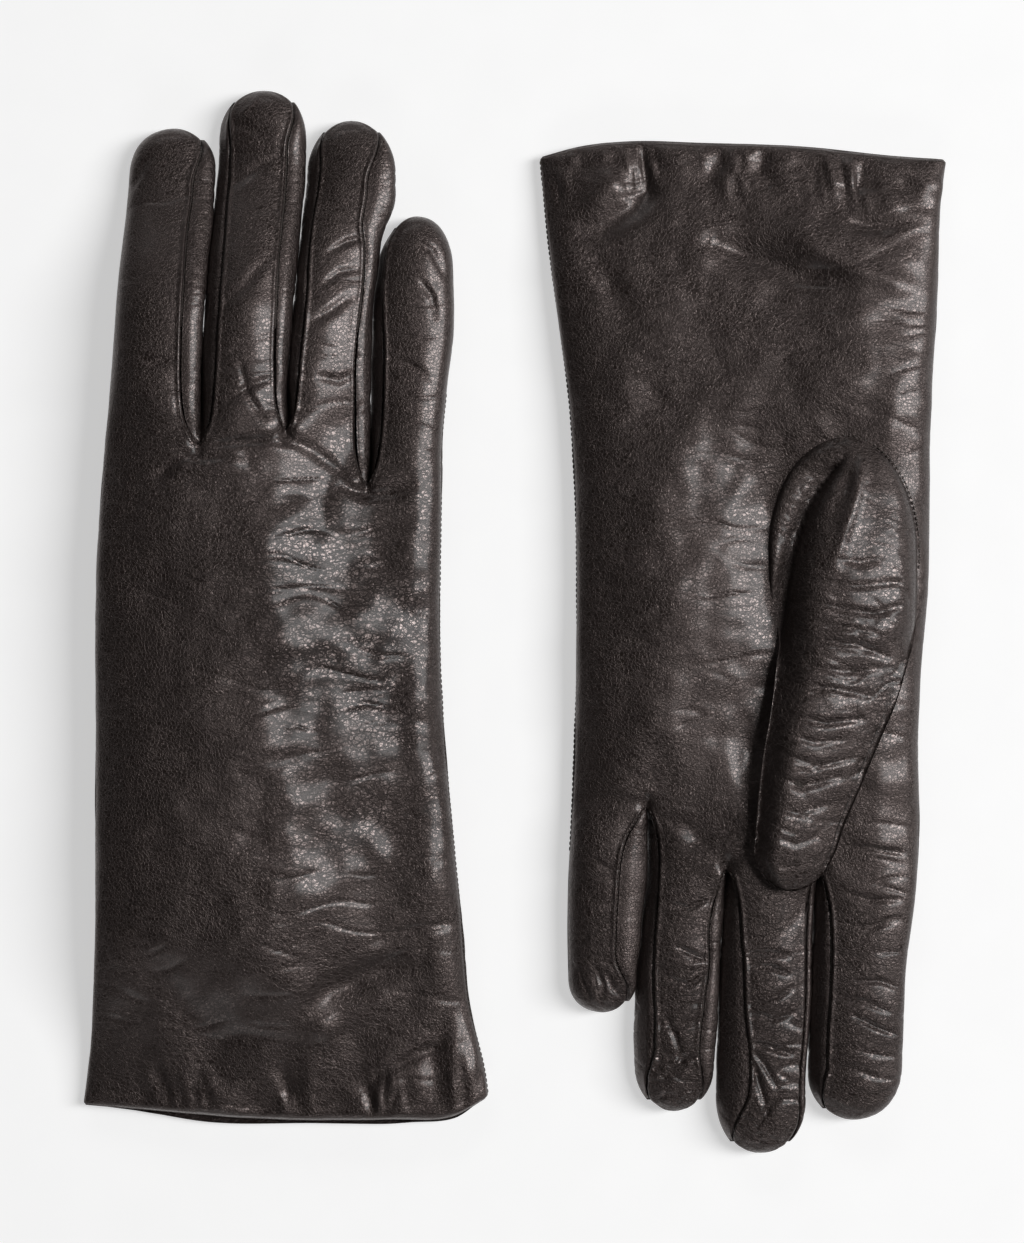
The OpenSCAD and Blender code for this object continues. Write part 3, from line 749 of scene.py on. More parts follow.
def hand_panel(side, top, material):
    """The back or palm of the hand with the roots of its fingers, as one sheet."""
    grids, index, start = [], [], 0
    for k in range(4):
        x = across_columns(k)[None, :]
        v, joined_rows = hand_rows(side, top, k, x)
        x = np.broadcast_to(x, v.shape).copy()
        grids.append(panel_grid(side, top, k, x, v))
        numbers = number_grid(v.shape, start)
        if index:
            numbers[:joined_rows, 0] = index[-1][:joined_rows, -1]
        start += v.size
        index.append(numbers)
    name = f"{side}_hand_{'back' if top == BACK else 'palm'}"
    piece = sheet_piece(name + "_leather", grids, index, side, top, material)
    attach(piece, f"{side}_hand")
    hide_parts(name)
    return piece


def bend_with_finger(piece):
    """Bakes the piece's placement into its mesh."""
    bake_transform(piece)


def finger_panel(side, top, k, material):
    """The back or palm of finger k, from its hinge line to its tip."""
    x = across_columns(k)[None, :]
    v = tip_rows(side, k)[:, None]
    x, v = spread(x, v)
    grid = panel_grid(side, top, k, x, v)
    grid[2][-1] = (0, 1 if side == "right" else -1, 0)
    numbers = number_grid(v.shape, 0)
    numbers[-1, :] = numbers[-1, 0]
    name = f"{side}_{FINGERS[k]}_{'back' if top == BACK else 'palm'}"
    piece = sheet_piece(name + "_leather", [grid], [numbers], side, top, material)
    bend_with_finger(piece)
    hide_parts(name)


def strip_grid(side, k, at_low, t, v):
    """Outer and inner points, normals and places of one grid on a fourchette."""
    outer, place = fourchette_side(side, k, at_low, t, v)
    inner, _ = fourchette_side(side, k, at_low, t, v, inward=LEATHER_T, fine=False)

    def surface(a, b):
        return fourchette_side(side, k, at_low, a, b)

    normals = normals_of(surface, t, v, 0.02, 0.08)
    away = -1 if at_low == (side == "right") else 1
    return outer, inner, facing(normals, 0, away), np.stack(place, -1)


STRIP_T = np.concatenate([[0, 0.03, 0.07, 0.12], np.linspace(0.18, 0.82, 14), [0.88, 0.93, 0.97, 1]])


def finger_strip(side, k, at_low, node, material):
    """One fourchette of a finger, from the hinge line to its pointed end."""
    v = spaced(HINGE_V[k], REACH[side][k] - SEAM_END, FINE_STEP)[:, None]
    t, v = spread(STRIP_T[None, :], v)
    grid = strip_grid(side, k, at_low, t, v)
    numbers = [number_grid(v.shape, 0)]
    piece = sheet_piece(node + "_leather", [grid], numbers, side, BACK, material)
    bend_with_finger(piece)
    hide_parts(node)


def fourchette_roots(side, material):
    """The three webs between the fingers, where neighbouring fourchettes meet in a fold."""
    grids, index, start = [], [], 0
    t = STRIP_T[:, None]
    for k in (INDEX, MIDDLE, RING):
        floor_v = mix(PARTING[BACK][k + 1], PARTING[PALM][k + 1], t)
        down = np.linspace(0, 1, 34)[None, :]
        halves = []
        for finger, at_low in ((k, False), (k + 1, True)):
            v = mix(floor_v, HINGE_V[finger], down)
            tt = np.broadcast_to(t, v.shape).copy()
            halves.append(strip_grid(side, finger, at_low, tt, v))
        numbers = [number_grid(halves[0][0].shape[:2], start)]
        start += halves[0][0][..., 0].size
        numbers.append(number_grid(halves[1][0].shape[:2], start))
        start += halves[1][0][..., 0].size
        web = (halves[0][0][:, 0] + halves[1][0][:, 0]) / 2
        for half in halves:
            half[0][:, 0] = web
        grids += halves
        index += numbers
    outer, inner, normals, place = stacked(grids)
    faces = np.vstack([face_outward(cells(i), outer, normals) for i in index])
    place = place_of(side, BACK, place)
    name = f"{side}_fourchette_roots_leather"
    piece = two_skins(name, outer, inner, normals, faces, place, material)
    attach(piece, f"{side}_hand")
    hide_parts(f"{side}_fourchette_bases")


# ---- Lining and hem ----

def ring_points(side, x_total, v, inward):
    """Points round the inside of the hand: over the back from the index side and home by the palm."""
    rows = []
    for top, order in ((BACK, 1), (PALM, -1)):
        parts = []
        for k in range(4)[::order]:
            x = x_total[::order]
            vv = v(top, k, x)
            points, _ = panel(side, top, k, np.broadcast_to(x, vv.shape).copy(), vv, inward, False)
            parts.append(points[:, :-1])
        rows.append(np.concatenate(parts, 1))
    return np.concatenate(rows, 1)


def grid_normals(points, loop):
    """Normals of a grid of points, from its neighbours."""
    padded = np.concatenate([points[:, -1:], points, points[:, :1]], 1) if loop else points
    along = np.gradient(padded, axis=1)
    along = along[:, 1:-1] if loop else along
    down = np.gradient(points, axis=0)
    return unit(np.cross(along, down))


def tube_piece(name, outer, inner, material, slot, place_shift=(0, 0, 0)):
    """A sheet rolled into a tube, from its outer and inner rings."""
    normals = grid_normals(outer, True)
    centre = outer.mean(axis=1, keepdims=True)
    if np.sum(normals * (outer - centre)) < 0:
        normals = -normals
    faces = cells(number_grid(outer.shape[:2], 0), loop=True)
    outer, inner, normals = (a.reshape(-1, 3) for a in (outer, inner, normals))
    faces = face_outward(faces, outer, normals)
    place = outer / MM + np.array(place_shift)
    return two_skins(name, outer, inner, normals, faces, place, material)


def cuff_parts(side, leather, knit):
    """The turned-in hem and the knitted lining of the hand."""
    x = np.linspace(0, 1, 15)

    def hem_v(top, k, xx):
        edge = curve(CUFF_EDGE[side, top], SHARE[k] + xx * (SHARE[k + 1] - SHARE[k]))
        return edge[None, :] + np.array(HEM_ROWS)[:, None]

    def lining_v(top, k, xx):
        rows = np.linspace(*LINING_END, 74)[:, None]
        return np.broadcast_to(rows, (len(rows), len(xx)))

    hem_in = LEATHER_T + 0.05
    hem = tube_piece(
        f"{side}_cuff_hem_leather",
        ring_points(side, x, hem_v, hem_in),
        ring_points(side, x, hem_v, hem_in + HEM_T),
        leather, "leather_fold", place_shift=(0, 0, 200.0),
    )
    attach(hem, f"{side}_hand")
    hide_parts(f"{side}_cuff_hem")
    lining = tube_piece(
        f"{side}_hand_lining_knit",
        ring_points(side, x, lining_v, LINING_IN),
        ring_points(side, x, lining_v, LINING_IN + LINING_T),
        knit, "lining",
    )
    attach(lining, f"{side}_hand")
    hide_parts(f"{side}_hand_lining")


def finger_lining(side, k, knit):
    """The lining inside a finger, up to just short of its tip."""
    rows = np.minimum(tip_rows(side, k)[::3], REACH[side][k] - 2.2)
    rows = np.unique(np.append(rows, REACH[side][k] - 2.2))[:, None]
    turn = np.linspace(0, 2 * math.pi, 40, endpoint=False)[None, :]
    low, high = finger_sides(side, BACK, k, rows)
    skins = []
    for inward in (FINGER_LINING_IN, FINGER_LINING_IN + LINING_T):
        half = (high - low) / 2 - inward
        thick = np.maximum(thickness(side, k, rows) - inward, 0.25)
        half = np.maximum(half, 0.3)
        across = np.cos(turn)
        u = (low + high) / 2 + half * np.sign(across) * np.abs(across) ** 0.8
        lift = np.sin(turn)
        w = thick * np.sign(lift) * np.abs(lift) ** 0.8
        v = np.broadcast_to(rows, u.shape) - inward * 0.3
        skins.append(world_of(side, u, v, w, middle_z(side, k, rows) + 0 * u))
    piece = tube_piece(f"{side}_{FINGERS[k]}_lining_knit", *skins, knit, "lining")
    bend_with_finger(piece)
    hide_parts(f"{side}_{FINGERS[k]}_lining")


# ---- Thumb ----

THUMB_TIP_V = 69.4
THUMB_TIP_LENGTH = 14.0
OVAL_V, OVAL_LENGTH, OVAL_WIDTH = -18.0, 29.5, 19.4
THUMB_CENTRE = [(-47, -24), (-18, -24.0), (-6, -24.2), (5, -24.8), (12, -23.2), (20, -21.5),
                (32, -17.9), (44.5, -14.5), (53, -12.4), (61, -10.9), (69.4, -10.3)]
THUMB_HALF_WIDTH = [(-18, 19.4), (-6, 19.2), (5, 17.5), (20, 16.0), (32, 14.5), (44.5, 12.7),
                    (55, 11.0), (62, 10.7), (69.4, 10.5)]
THUMB_HEIGHT = [(-47.5, 0.8), (-43, 3.2), (-36, 5.4), (-28, 7.0), (-18, 8.2), (-6, 9.1), (8, 9.5),
                (40, 9.4), (69.4, 8.6)]
PLEAT = [(-42, -24.0), (-36, -19.5), (-30, -15.8), (-20, -12.2), (-10, -9.9), (0, -8.2), (4.7, -7.4)]
LOBE_HEIGHT = [(-46, 1.0), (-42, 2.6), (-35, 3.6), (-25, 4.0), (-15, 3.6), (-5, 2.4), (4, 0.5)]
THUMB_FOLDS = [
    ([(-41, -28.6), (-33, -27.0), (-24, -24.0), (-14, -21.0)], 1.1, 1.7),
    ([(-41, -26.3), (-34, -23.6), (-26, -20.0)], -1.0, 1.8),
    ([(-42, -21.0), (-38, -19.0), (-35, -17.6)], 0.5, 1.1),
    ([(-16, -21), (-15, -28), (-16, -33)], -0.4, 0.8),
    ([(-10, -16), (-9, -26), (-10, -38)], -0.5, 0.8),
    ([(-5, -16), (-3, -24), (-2, -32), (-4, -38)], -0.7, 0.8),
    ([(0, -15), (1, -22), (3, -32)], -0.5, 0.7),
    ([(5, -12), (5, -20), (6, -27), (9, -35)], -0.9, 0.9),
    ([(11, -14), (13, -24), (12, -33)], -0.6, 0.8),
    ([(16, -10), (17, -20), (19, -30)], -0.7, 0.8),
    ([(24, -9), (26, -19), (25, -28)], -0.8, 0.9),
    ([(29, -10), (31, -16), (30, -24)], -0.5, 0.7),
    ([(34, -8), (37, -17), (35, -26)], -0.6, 0.8),
    ([(40, -7), (42, -13), (40, -22)], -0.8, 1.2),
    ([(48, -5), (49, -12), (47, -19)], -0.5, 0.9),
    ([(55, -6), (57, -11), (55, -17)], -0.4, 1.0),
]


def thumb_half_width(v):
    """Half the thumb's width, over its oval root and along its stall."""
    base = OVAL_WIDTH * np.sqrt(np.maximum(0, 1 - clamp((OVAL_V - v) / OVAL_LENGTH) ** 2))
    x = clamp((v - THUMB_TIP_V + THUMB_TIP_LENGTH) / THUMB_TIP_LENGTH)
    tube = curve(THUMB_HALF_WIDTH, v) * np.sqrt(np.maximum(0, 1 - x * x))
    return np.where(v < OVAL_V, base, tube)


def palm_level(side, u, v):
    """Height of the palm leather's outer face above the glove's middle plane."""
    parts = []
    for k in range(4):
        low, high = finger_sides(side, PALM, k, v)
        share, _ = crown(side, PALM, k, u, v, low, high)
        inside = (u >= low) & (u < high)
        parts.append((inside, share * (half_height(v) + folded(side, PALM, u, v))))
    level = half_height(v)
    for inside, value in parts:
        level = np.where(inside & (v < 62), value, level)
    return level


def thumb_dome(share):
    """The thumb's height across it: steep on the palm side, then sloping gently to the outer one."""
    steep = (1 - (1 - clamp(share / 0.3)) ** 2.2) ** 0.6
    return steep * (1 - 0.42 * share**1.6) * np.sqrt(1 - share**8)


def thumb_top(a, v):
    """The thumb's upper skin; a runs -1 to 1 across it from the palm side to the index side."""
    centre = curve(THUMB_CENTRE, v)
    half = thumb_half_width(v)
    u = centre - a * half
    tall = curve(THUMB_HEIGHT, v)
    x = clamp((v - THUMB_TIP_V + THUMB_TIP_LENGTH) / THUMB_TIP_LENGTH)
    tall = tall * np.where(v > 0, np.maximum(0, 1 - x * x) ** 0.3, 1)
    pleat_u = curve(PLEAT, v)
    inner_u = centre + half
    outer_u = centre - half
    whole_dome = thumb_dome((1 + a) / 2)
    tube_share = (pleat_u - u) / np.maximum(pleat_u - outer_u, 0.01)
    tube = np.where(u < pleat_u, thumb_dome(clamp(tube_share)), 0)
    lobe_share = clamp((u - pleat_u) / np.maximum(inner_u - pleat_u, 0.01))
    lobe = lobe_share**0.8 * np.sqrt(1 - lobe_share**7)
    lobe = lobe * curve(LOBE_HEIGHT, v) / np.maximum(tall, 0.5)
    pleated = smooth((v + 45) / 7) * (1 - smooth((v - 3) / 4))
    profile = mix(whole_dome, np.maximum(tube, lobe), pleated)
    return u, v, tall * profile, profile


def thumb_side_height(v):
    """How high the thumb's widest line lies above what the thumb lies on."""
    return mix(0.1, 4.3, smooth((v + 4) / 17)) * (1 - 0.35 * smooth((v - 56) / 12))


def thumb_point(side, turn, v, fine=True):
    """A point round the thumb: turn 0 to 1 over its top, 1 to 2 home beneath."""
    over = turn <= 1
    a = -np.cos(math.pi * np.where(over, turn, 2 - turn))
    u, v, tall, profile = thumb_top(a, v)
    side_q = thumb_side_height(v)
    dome = np.maximum(0, 1 - np.abs(a) ** 2.6) ** 0.5
    below = side_q - (side_q - mix(-0.5, 0.35, smooth((v + 4) / 12))) * dome
    above = np.maximum(tall, side_q * np.minimum(1, profile * 2)) * smooth(profile * 3)
    above = mix(above, side_q + (tall - side_q) * profile, smooth((v - 2) / 10))
    rise = 0.0
    if fine:
        tube = smooth((v + 20) / 30)
        rise = 0.35 * noise(u / 12, v / 15, 71) + 0.15 * noise(u / 5, v / 6, 72)
        rise = rise - mix(0.12, 0.34, tube) * creases(u, v, 75, 15, 5.0, 0.5)
        rise = rise - 0.12 * creases(u, v, 79, 7, 2.6, 0.4)
        for points, height, width in THUMB_FOLDS:
            d, share = near_line(u, v, points)
            rise = rise + height * np.sin(math.pi * (0.15 + 0.7 * share)) * np.exp(-((d / width) ** 2))
        rise = rise * smooth(dome * 2.2)
    q = np.where(over, above + rise, below - rise * 0.4)
    q = np.where(v > 2, np.maximum(q, 0.3), q)
    out = -np.sign(a) * np.abs(a) ** 4 * (rise * smooth((v + 2) / 8))
    u = u + out
    level = palm_level(side, u, v)
    if side == "right":
        flat_z = half_height(v) + drape(side, u, v) - level
        base = mix(flat_z, DRAPE_RISE, smooth((v + 8) / 20))
        world = np.stack([u - PAIR_SPACING / 2, v, base - q], -1)
        world[..., 2] = np.maximum(world[..., 2], 0.05)
    else:
        base = mix(half_height(v) + level, 13.0, smooth((v - 6) / 24))
        world = np.stack([PAIR_SPACING / 2 - u, -v, base + q], -1)
    return world * MM, (u, v, q)


def thumb(side, leather, knit):
    """The thumb's leather and lining; its root is sewn into the palm."""
    oval = OVAL_V - OVAL_LENGTH * np.sin(np.linspace(math.pi / 2, 0, int(52 / STEP)))
    start = THUMB_TIP_V - THUMB_TIP_LENGTH
    tip = start + THUMB_TIP_LENGTH * np.sin(np.linspace(0, math.pi / 2, int(24 / STEP)))
    v = np.concatenate([oval, spaced(OVAL_V, start)[1:-1], tip])[:, None]
    top = np.linspace(0, 1, int(46 / STEP))
    beneath = np.linspace(1, 2, int(30 / STEP))[1:-1]
    turn = np.concatenate([top, beneath])[None, :]
    turn, v = spread(turn, v)
    outer, place = thumb_point(side, turn, v)
    normals = grid_normals(outer, True)
    if np.sum(normals[:, : len(top), 2]) * (1 if side == "left" else -1) < 0:
        normals = -normals
    normals[0] = (0, -1 if side == "right" else 1, 0)
    normals[-1] = -normals[0]
    numbers = number_grid(v.shape, 0)
    numbers[0, :] = numbers[0, 0]
    numbers[-1, :] = numbers[-1, 0]
    faces = face_outward(cells(numbers, loop=True), outer.reshape(-1, 3), normals.reshape(-1, 3))
    place = place_of(side, PALM, np.stack(place, -1).reshape(-1, 3)) + (0, 300, 0)
    piece = make_piece(
        f"{side}_thumb_leather",
        outer.reshape(-1, 3),
        faces,
        normals.reshape(-1, 3),
        place,
        leather,
        0.75,
    )
    bend_with_thumb(piece)
    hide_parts(f"{side}_thumb_base", f"{side}_thumb_stall")

    rows = v[(v[:, 0] > 8) & (v[:, 0] < THUMB_TIP_V - 2.5)][::4]
    around = np.linspace(0, 2, 41)[None, :-1]
    around, rows = spread(around, rows[:, :1])
    skins = []
    for keep in (0.78, 0.62):
        p = thumb_point(side, around, rows, fine=False)[0]
        centre = p.mean(axis=1, keepdims=True)
        skins.append(centre + (p - centre) * np.array([1 - (1 - keep) * 0.55, 1, keep]))
    lining = tube_piece(f"{side}_thumb_lining_knit", *skins, knit, "lining")
    bend_with_thumb(lining)
    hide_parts(f"{side}_thumb_lining")


def bend_with_thumb(piece):
    """Bakes the piece's placement into its mesh."""
    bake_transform(piece)


# ---- Sewing thread ----

def bead_template():
    """A small round stitch, its length along x, as points and triangles."""
    rings, sides = 5, 6
    points = [(-0.5, 0, 0)]
    for i in range(1, rings):
        a = math.pi * i / rings
        for j in range(sides):
            b = 2 * math.pi * j / sides
            round_it = 0.5 * math.sin(a)
            points.append((-0.5 * math.cos(a), round_it * math.cos(b), round_it * math.sin(b)))
    points.append((0.5, 0, 0))
    faces = []
    for j in range(sides):
        k = (j + 1) % sides
        faces.append((0, 1 + k, 1 + j))
        faces.append((len(points) - 1, 1 + (rings - 2) * sides + j, 1 + (rings - 2) * sides + k))
        for i in range(rings - 2):
            a, b = 1 + i * sides, 1 + (i + 1) * sides
            faces.append((a + j, a + k, b + k))
            faces.append((a + j, b + k, b + j))
    return np.array(points), np.array(faces)


BEAD_POINTS, BEAD_FACES = bead_template()
STITCH_PITCH = 1.4
STITCH_LENGTH = 1.1
STITCH_WIDTH = 0.5
STITCH_RISE = 0.42  # how far the stitches of a fourchette seam stand above the panel's edge
STITCH_IN = 0.75  # how far in from that edge they lie


def along_line(places, far, rows):
    """The rows of numbers at some places on a line whose own points lie far along it."""
    return np.stack([np.interp(places, far, rows[:, i]) for i in range(3)], 1)


def stitches(name, lines, material):
    """Beads of thread along lines of points in the row frame, each line with its normals."""
    points, faces = [], []
    for line, normals in lines:
        gaps = np.linalg.norm(np.diff(line, axis=0), axis=1)
        far = np.concatenate([[0], np.cumsum(gaps)])
        places = np.arange(STITCH_PITCH / 2, far[-1] / MM, STITCH_PITCH) * MM
        if not len(places):
            continue
        at = along_line(places, far, line)
        ahead = along_line(places + 0.3 * MM, far, line)
        behind = along_line(places - 0.3 * MM, far, line)
        up = along_line(places, far, normals)
        x = unit(ahead - behind)
        y = unit(np.cross(up, x))
        z = np.cross(x, y)
        for n in range(len(at)):
            axes = np.stack([x[n] * STITCH_LENGTH, y[n] * STITCH_WIDTH, z[n] * STITCH_WIDTH])
            faces.append(BEAD_FACES + len(points) * len(BEAD_POINTS))
            points.append(at[n] + BEAD_POINTS @ axes * MM)
    points = np.vstack(points)
    faces = np.vstack(faces)
    mesh = bpy.data.meshes.new(name)
    mesh.from_pydata(points.tolist(), [], faces.tolist())
    mesh.polygons.foreach_set("use_smooth", np.ones(len(faces), bool))
    mesh.materials.append(material)
    piece = bpy.data.objects.new(name, mesh)
    bpy.context.scene.collection.objects.link(piece)
    return piece


def seam_line(side, top, k, at_low, v):
    """Points and normals along a fourchette seam, on the panel's edge."""
    x = np.full(v.shape, 0.0 if at_low else 1.0)
    points, _ = panel(side, top, k, x, v)
    inside = np.full(v.shape, 0.12 if at_low else 0.88)
    ahead, _ = panel(side, top, k, inside, v)
    across = ahead - points
    along = np.gradient(points, axis=0)
    n = unit(np.cross(across, along))
    up = top if side == "right" else -top
    n = n * np.where(n[:, 2:3] * up < 0, -1, 1)
    return points + n * STITCH_RISE * MM + unit(across) * STITCH_IN * MM, n


def finger_threads(side, thread):
    """The visible stitches of the fourchette seams, on the hand and on each finger."""
    roots = []
    for k in range(4):
        on_finger = []
        for top in (BACK, PALM):
            for at_low in (True, False):
                if (k == INDEX and at_low) or (k == LITTLE and not at_low):
                    continue
                part = PARTING[top][k if at_low else k + 1]
                low_v = np.arange(part + 0.6, HINGE_V[k], 0.4)
                high_v = np.arange(HINGE_V[k], REACH[side][k] - SEAM_END - 1, 0.4)
                roots.append(seam_line(side, top, k, at_low, low_v))
                on_finger.append(seam_line(side, top, k, at_low, high_v))
        piece = stitches(f"{side}_{FINGERS[k]}_seam_threads", on_finger, thread)
        bend_with_finger(piece)
    piece = stitches(f"{side}_finger_root_threads", roots, thread)
    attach(piece, f"{side}_hand")


def hand_threads(side, thread):
    """The side seam and the thumb's oval seam."""
    edge_v = CUFF_EDGE[side, BACK][-1][1] + 1
    v = np.arange(edge_v, 60, 0.5)
    x = np.ones(v.shape)
    line, _ = panel(side, BACK, LITTLE, x, v)
    outward = np.tile([1.0 if side == "right" else -1.0, 0, 0], (len(v), 1))
    piece = stitches(f"{side}_side_seam_stitches", [(line, outward)], thread)
    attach(piece, f"{side}_hand")
    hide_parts(f"{side}_side_seam_thread")

    a = np.radians(np.linspace(-8, 188, 160))
    u = -24 + (OVAL_WIDTH + 0.5) * np.cos(a)
    vv = OVAL_V - (OVAL_LENGTH + 0.5) * np.sin(a)
    level = palm_level(side, u, vv)
    if side == "right":
        z = half_height(vv) + drape(side, u, vv) - level - 0.1
        line = np.stack([u - PAIR_SPACING / 2, vv, z], -1)
    else:
        line = np.stack([PAIR_SPACING / 2 - u, -vv, half_height(vv) + level + 0.15], -1)
    up = np.tile([0, 0, 1.0 if side == "left" else -1.0], (len(u), 1))
    piece = stitches(f"{side}_thumb_seam_stitches", [(line * MM, up)], thread)
    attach(piece, f"{side}_hand")
    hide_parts(f"{side}_thumb_seam_thread")


# ---- Materials ----

def new_material(name):
    """A material with its nodes, its links and its shader."""
    material = bpy.data.materials.new(name)
    material.use_nodes = True
    nodes = material.node_tree.nodes
    return material, nodes, material.node_tree.links, nodes["Principled BSDF"]


def add(nodes, kind, **values):
    """A node with its named inputs and properties set."""
    node = nodes.new(kind)
    for key, value in values.items():
        if hasattr(node, key):
            setattr(node, key, value)
        else:
            node.inputs[key.replace("_", " ")].default_value = value
    return node


def ramp(nodes, links, source, low, high, dark, light):
    """Colour between dark and light as source goes from low to high."""
    node = nodes.new("ShaderNodeValToRGB")
    node.color_ramp.elements[0].position = low
    node.color_ramp.elements[1].position = high
    node.color_ramp.elements[0].color = (*dark, 1)
    node.color_ramp.elements[1].color = (*light, 1)
    links.new(source, node.inputs["Fac"])
    return node


def ranged(nodes, links, source, low, high, to_low, to_high, smoothly=False):
    """source taken from the range low to high into the range to_low to to_high."""
    node = add(nodes, "ShaderNodeMapRange")
    node.interpolation_type = "SMOOTHSTEP" if smoothly else "LINEAR"
    node.inputs["From Min"].default_value = low
    node.inputs["From Max"].default_value = high
    node.inputs["To Min"].default_value = to_low
    node.inputs["To Max"].default_value = to_high
    links.new(source, node.inputs["Value"])
    return node.outputs["Result"]


def calculate(nodes, links, operation, one, other):
    """A math node on two values, each a number or a socket."""
    node = add(nodes, "ShaderNodeMath", operation=operation)
    for socket, value in zip(node.inputs, (one, other)):
        if isinstance(value, (int, float)):
            socket.default_value = value
        else:
            links.new(value, socket)
    return node.outputs["Value"]


def raise_by(nodes, links, shader, height, strength, distance):
    """Bumps the shader's surface by a height from 0 to 1, distance metres at most."""
    bump = add(nodes, "ShaderNodeBump", Strength=strength, Distance=distance)
    links.new(height, bump.inputs["Height"])
    links.new(bump.outputs["Normal"], shader.inputs["Normal"])


def leather_material(name, dark, light, roughness):
    """Glazed nappa: small cells, wandering cracks, long fine creases across it, uneven polish, and
    painted shade that darkens the cracks and creases.
    """
    material, nodes, links, shader = new_material(name)
    place = add(nodes, "ShaderNodeAttribute", attribute_name="leather_place").outputs["Vector"]
    creasing = add(nodes, "ShaderNodeAttribute", attribute_name="creasing").outputs["Fac"]

    def scaled(source, factors):
        node = add(nodes, "ShaderNodeVectorMath", operation="MULTIPLY")
        node.inputs[1].default_value = factors
        links.new(source, node.inputs[0])
        return node.outputs["Vector"]

    def bent(scale, amount, detail):
        """The place pushed about by noise, so that nothing repeats or runs straight."""
        warp = add(nodes, "ShaderNodeTexNoise", Scale=scale, Detail=detail)
        links.new(place, warp.inputs["Vector"])
        node = add(nodes, "ShaderNodeVectorMath", operation="MULTIPLY_ADD")
        node.inputs[1].default_value = (amount, amount, amount)
        links.new(warp.outputs["Color"], node.inputs[0])
        links.new(place, node.inputs[2])
        return node.outputs["Vector"]

    def cracks(source, scale, width):
        """0 in the cracks between cells, 1 on top of them."""
        node = add(nodes, "ShaderNodeTexVoronoi", feature="DISTANCE_TO_EDGE", Scale=scale)
        links.new(source, node.inputs["Vector"])
        return ranged(nodes, links, node.outputs["Distance"], 0.0, width, 0.0, 1.0, True)

    def crease_lines(source, factors, width):
        """0 along winding lines, 1 away from them."""
        node = add(nodes, "ShaderNodeTexNoise", Scale=1.0, Detail=1.5, Distortion=0.7)
        links.new(scaled(source, factors), node.inputs["Vector"])
        off = calculate(nodes, links, "SUBTRACT", node.outputs["Fac"], 0.5)
        off = calculate(nodes, links, "ABSOLUTE", off, 0.0)
        return ranged(nodes, links, off, 0.0, width, 0.0, 1.0, True)

    near = bent(0.9, 1.1, 3.0)
    far = bent(0.12, 7.0, 3.0)
    small = cracks(near, 1.2, 0.13)
    wide = cracks(scaled(near, (0.75, 1.1, 1.0)), 0.72, 0.115)
    long_creases = crease_lines(far, (0.055, 0.2, 0.2), 0.02)
    short_creases = crease_lines(far, (0.16, 0.42, 0.42), 0.035)
    grain = add(nodes, "ShaderNodeTexNoise", Scale=2.4, Detail=3.0, Roughness=0.6)
    links.new(place, grain.inputs["Vector"])
    patches = add(nodes, "ShaderNodeTexNoise", Scale=0.05, Detail=4.0, Roughness=0.6)
    links.new(place, patches.inputs["Vector"])
    patch = ranged(nodes, links, patches.outputs["Fac"], 0.32, 0.68, 0.3, 1.0)
    crease_and_shade = calculate(nodes, links, "MULTIPLY", creasing, patch)

    def layer(total, value, factor):
        part = calculate(nodes, links, "MULTIPLY", value, factor)
        return calculate(nodes, links, "ADD", total, part)

    height = calculate(nodes, links, "MULTIPLY", grain.outputs["Fac"], 0.26)
    height = layer(height, small, 0.5)
    height = layer(height, calculate(nodes, links, "MULTIPLY", wide, crease_and_shade), 1.35)
    height = layer(height, calculate(nodes, links, "MULTIPLY", long_creases, crease_and_shade), 2.2)
    height = layer(height, calculate(nodes, links, "MULTIPLY", short_creases, crease_and_shade), 1.6)
    raise_by(nodes, links, shader, height, 0.8, 0.00011)

    # Painted shade: the base colour is darker along the cracks and creases, most where the leather is
    # most creased, on top of the patches' own uneven tone; the same lines are also rougher.
    top = calculate(nodes, links, "MINIMUM", wide, long_creases)
    top = calculate(nodes, links, "MINIMUM", top, short_creases)
    sunk_shade = calculate(nodes, links, "MULTIPLY", calculate(nodes, links, "SUBTRACT", 1.0, top), crease_and_shade)
    sunk_shade = layer(sunk_shade, calculate(nodes, links, "SUBTRACT", 1.0, small), 0.45)
    patch_tone_and_crease_shade = calculate(nodes, links, "SUBTRACT", patches.outputs["Fac"], sunk_shade)
    colour = ramp(nodes, links, patch_tone_and_crease_shade, 0.1, 0.75, dark, light)
    links.new(colour.outputs["Color"], shader.inputs["Base Color"])
    polish = ranged(nodes, links, patches.outputs["Fac"], 0.3, 0.7, roughness + 0.06, roughness - 0.05)
    links.new(layer(polish, sunk_shade, 0.5), shader.inputs["Roughness"])
    shader.inputs["Specular IOR Level"].default_value = 1.0
    shader.inputs["Coat Weight"].default_value = 0.25
    shader.inputs["Coat Roughness"].default_value = 0.22
    shader.inputs["Specular Tint"].default_value = (1.0, 0.81, 0.765, 1)
    return material


def knit_material():
    """A fine dull jersey."""
    material, nodes, links, shader = new_material("knit_lining")
    place = add(nodes, "ShaderNodeAttribute", attribute_name="leather_place")
    waves = []
    for direction, scale in (("X", 0.34), ("Y", 0.46)):
        wave = add(nodes, "ShaderNodeTexWave", bands_direction=direction, Scale=scale, Distortion=0.6)
        links.new(place.outputs["Vector"], wave.inputs["Vector"])
        waves.append(wave.outputs["Fac"])
    both = calculate(nodes, links, "MULTIPLY", *waves)
    raise_by(nodes, links, shader, both, 0.8, 0.0003)
    colour = ramp(nodes, links, both, 0.0, 1.0, (0.028, 0.02, 0.017), (0.075, 0.058, 0.05))
    links.new(colour.outputs["Color"], shader.inputs["Base Color"])
    shader.inputs["Roughness"].default_value = 0.9
    shader.inputs["Sheen Weight"].default_value = 0.3
    return material


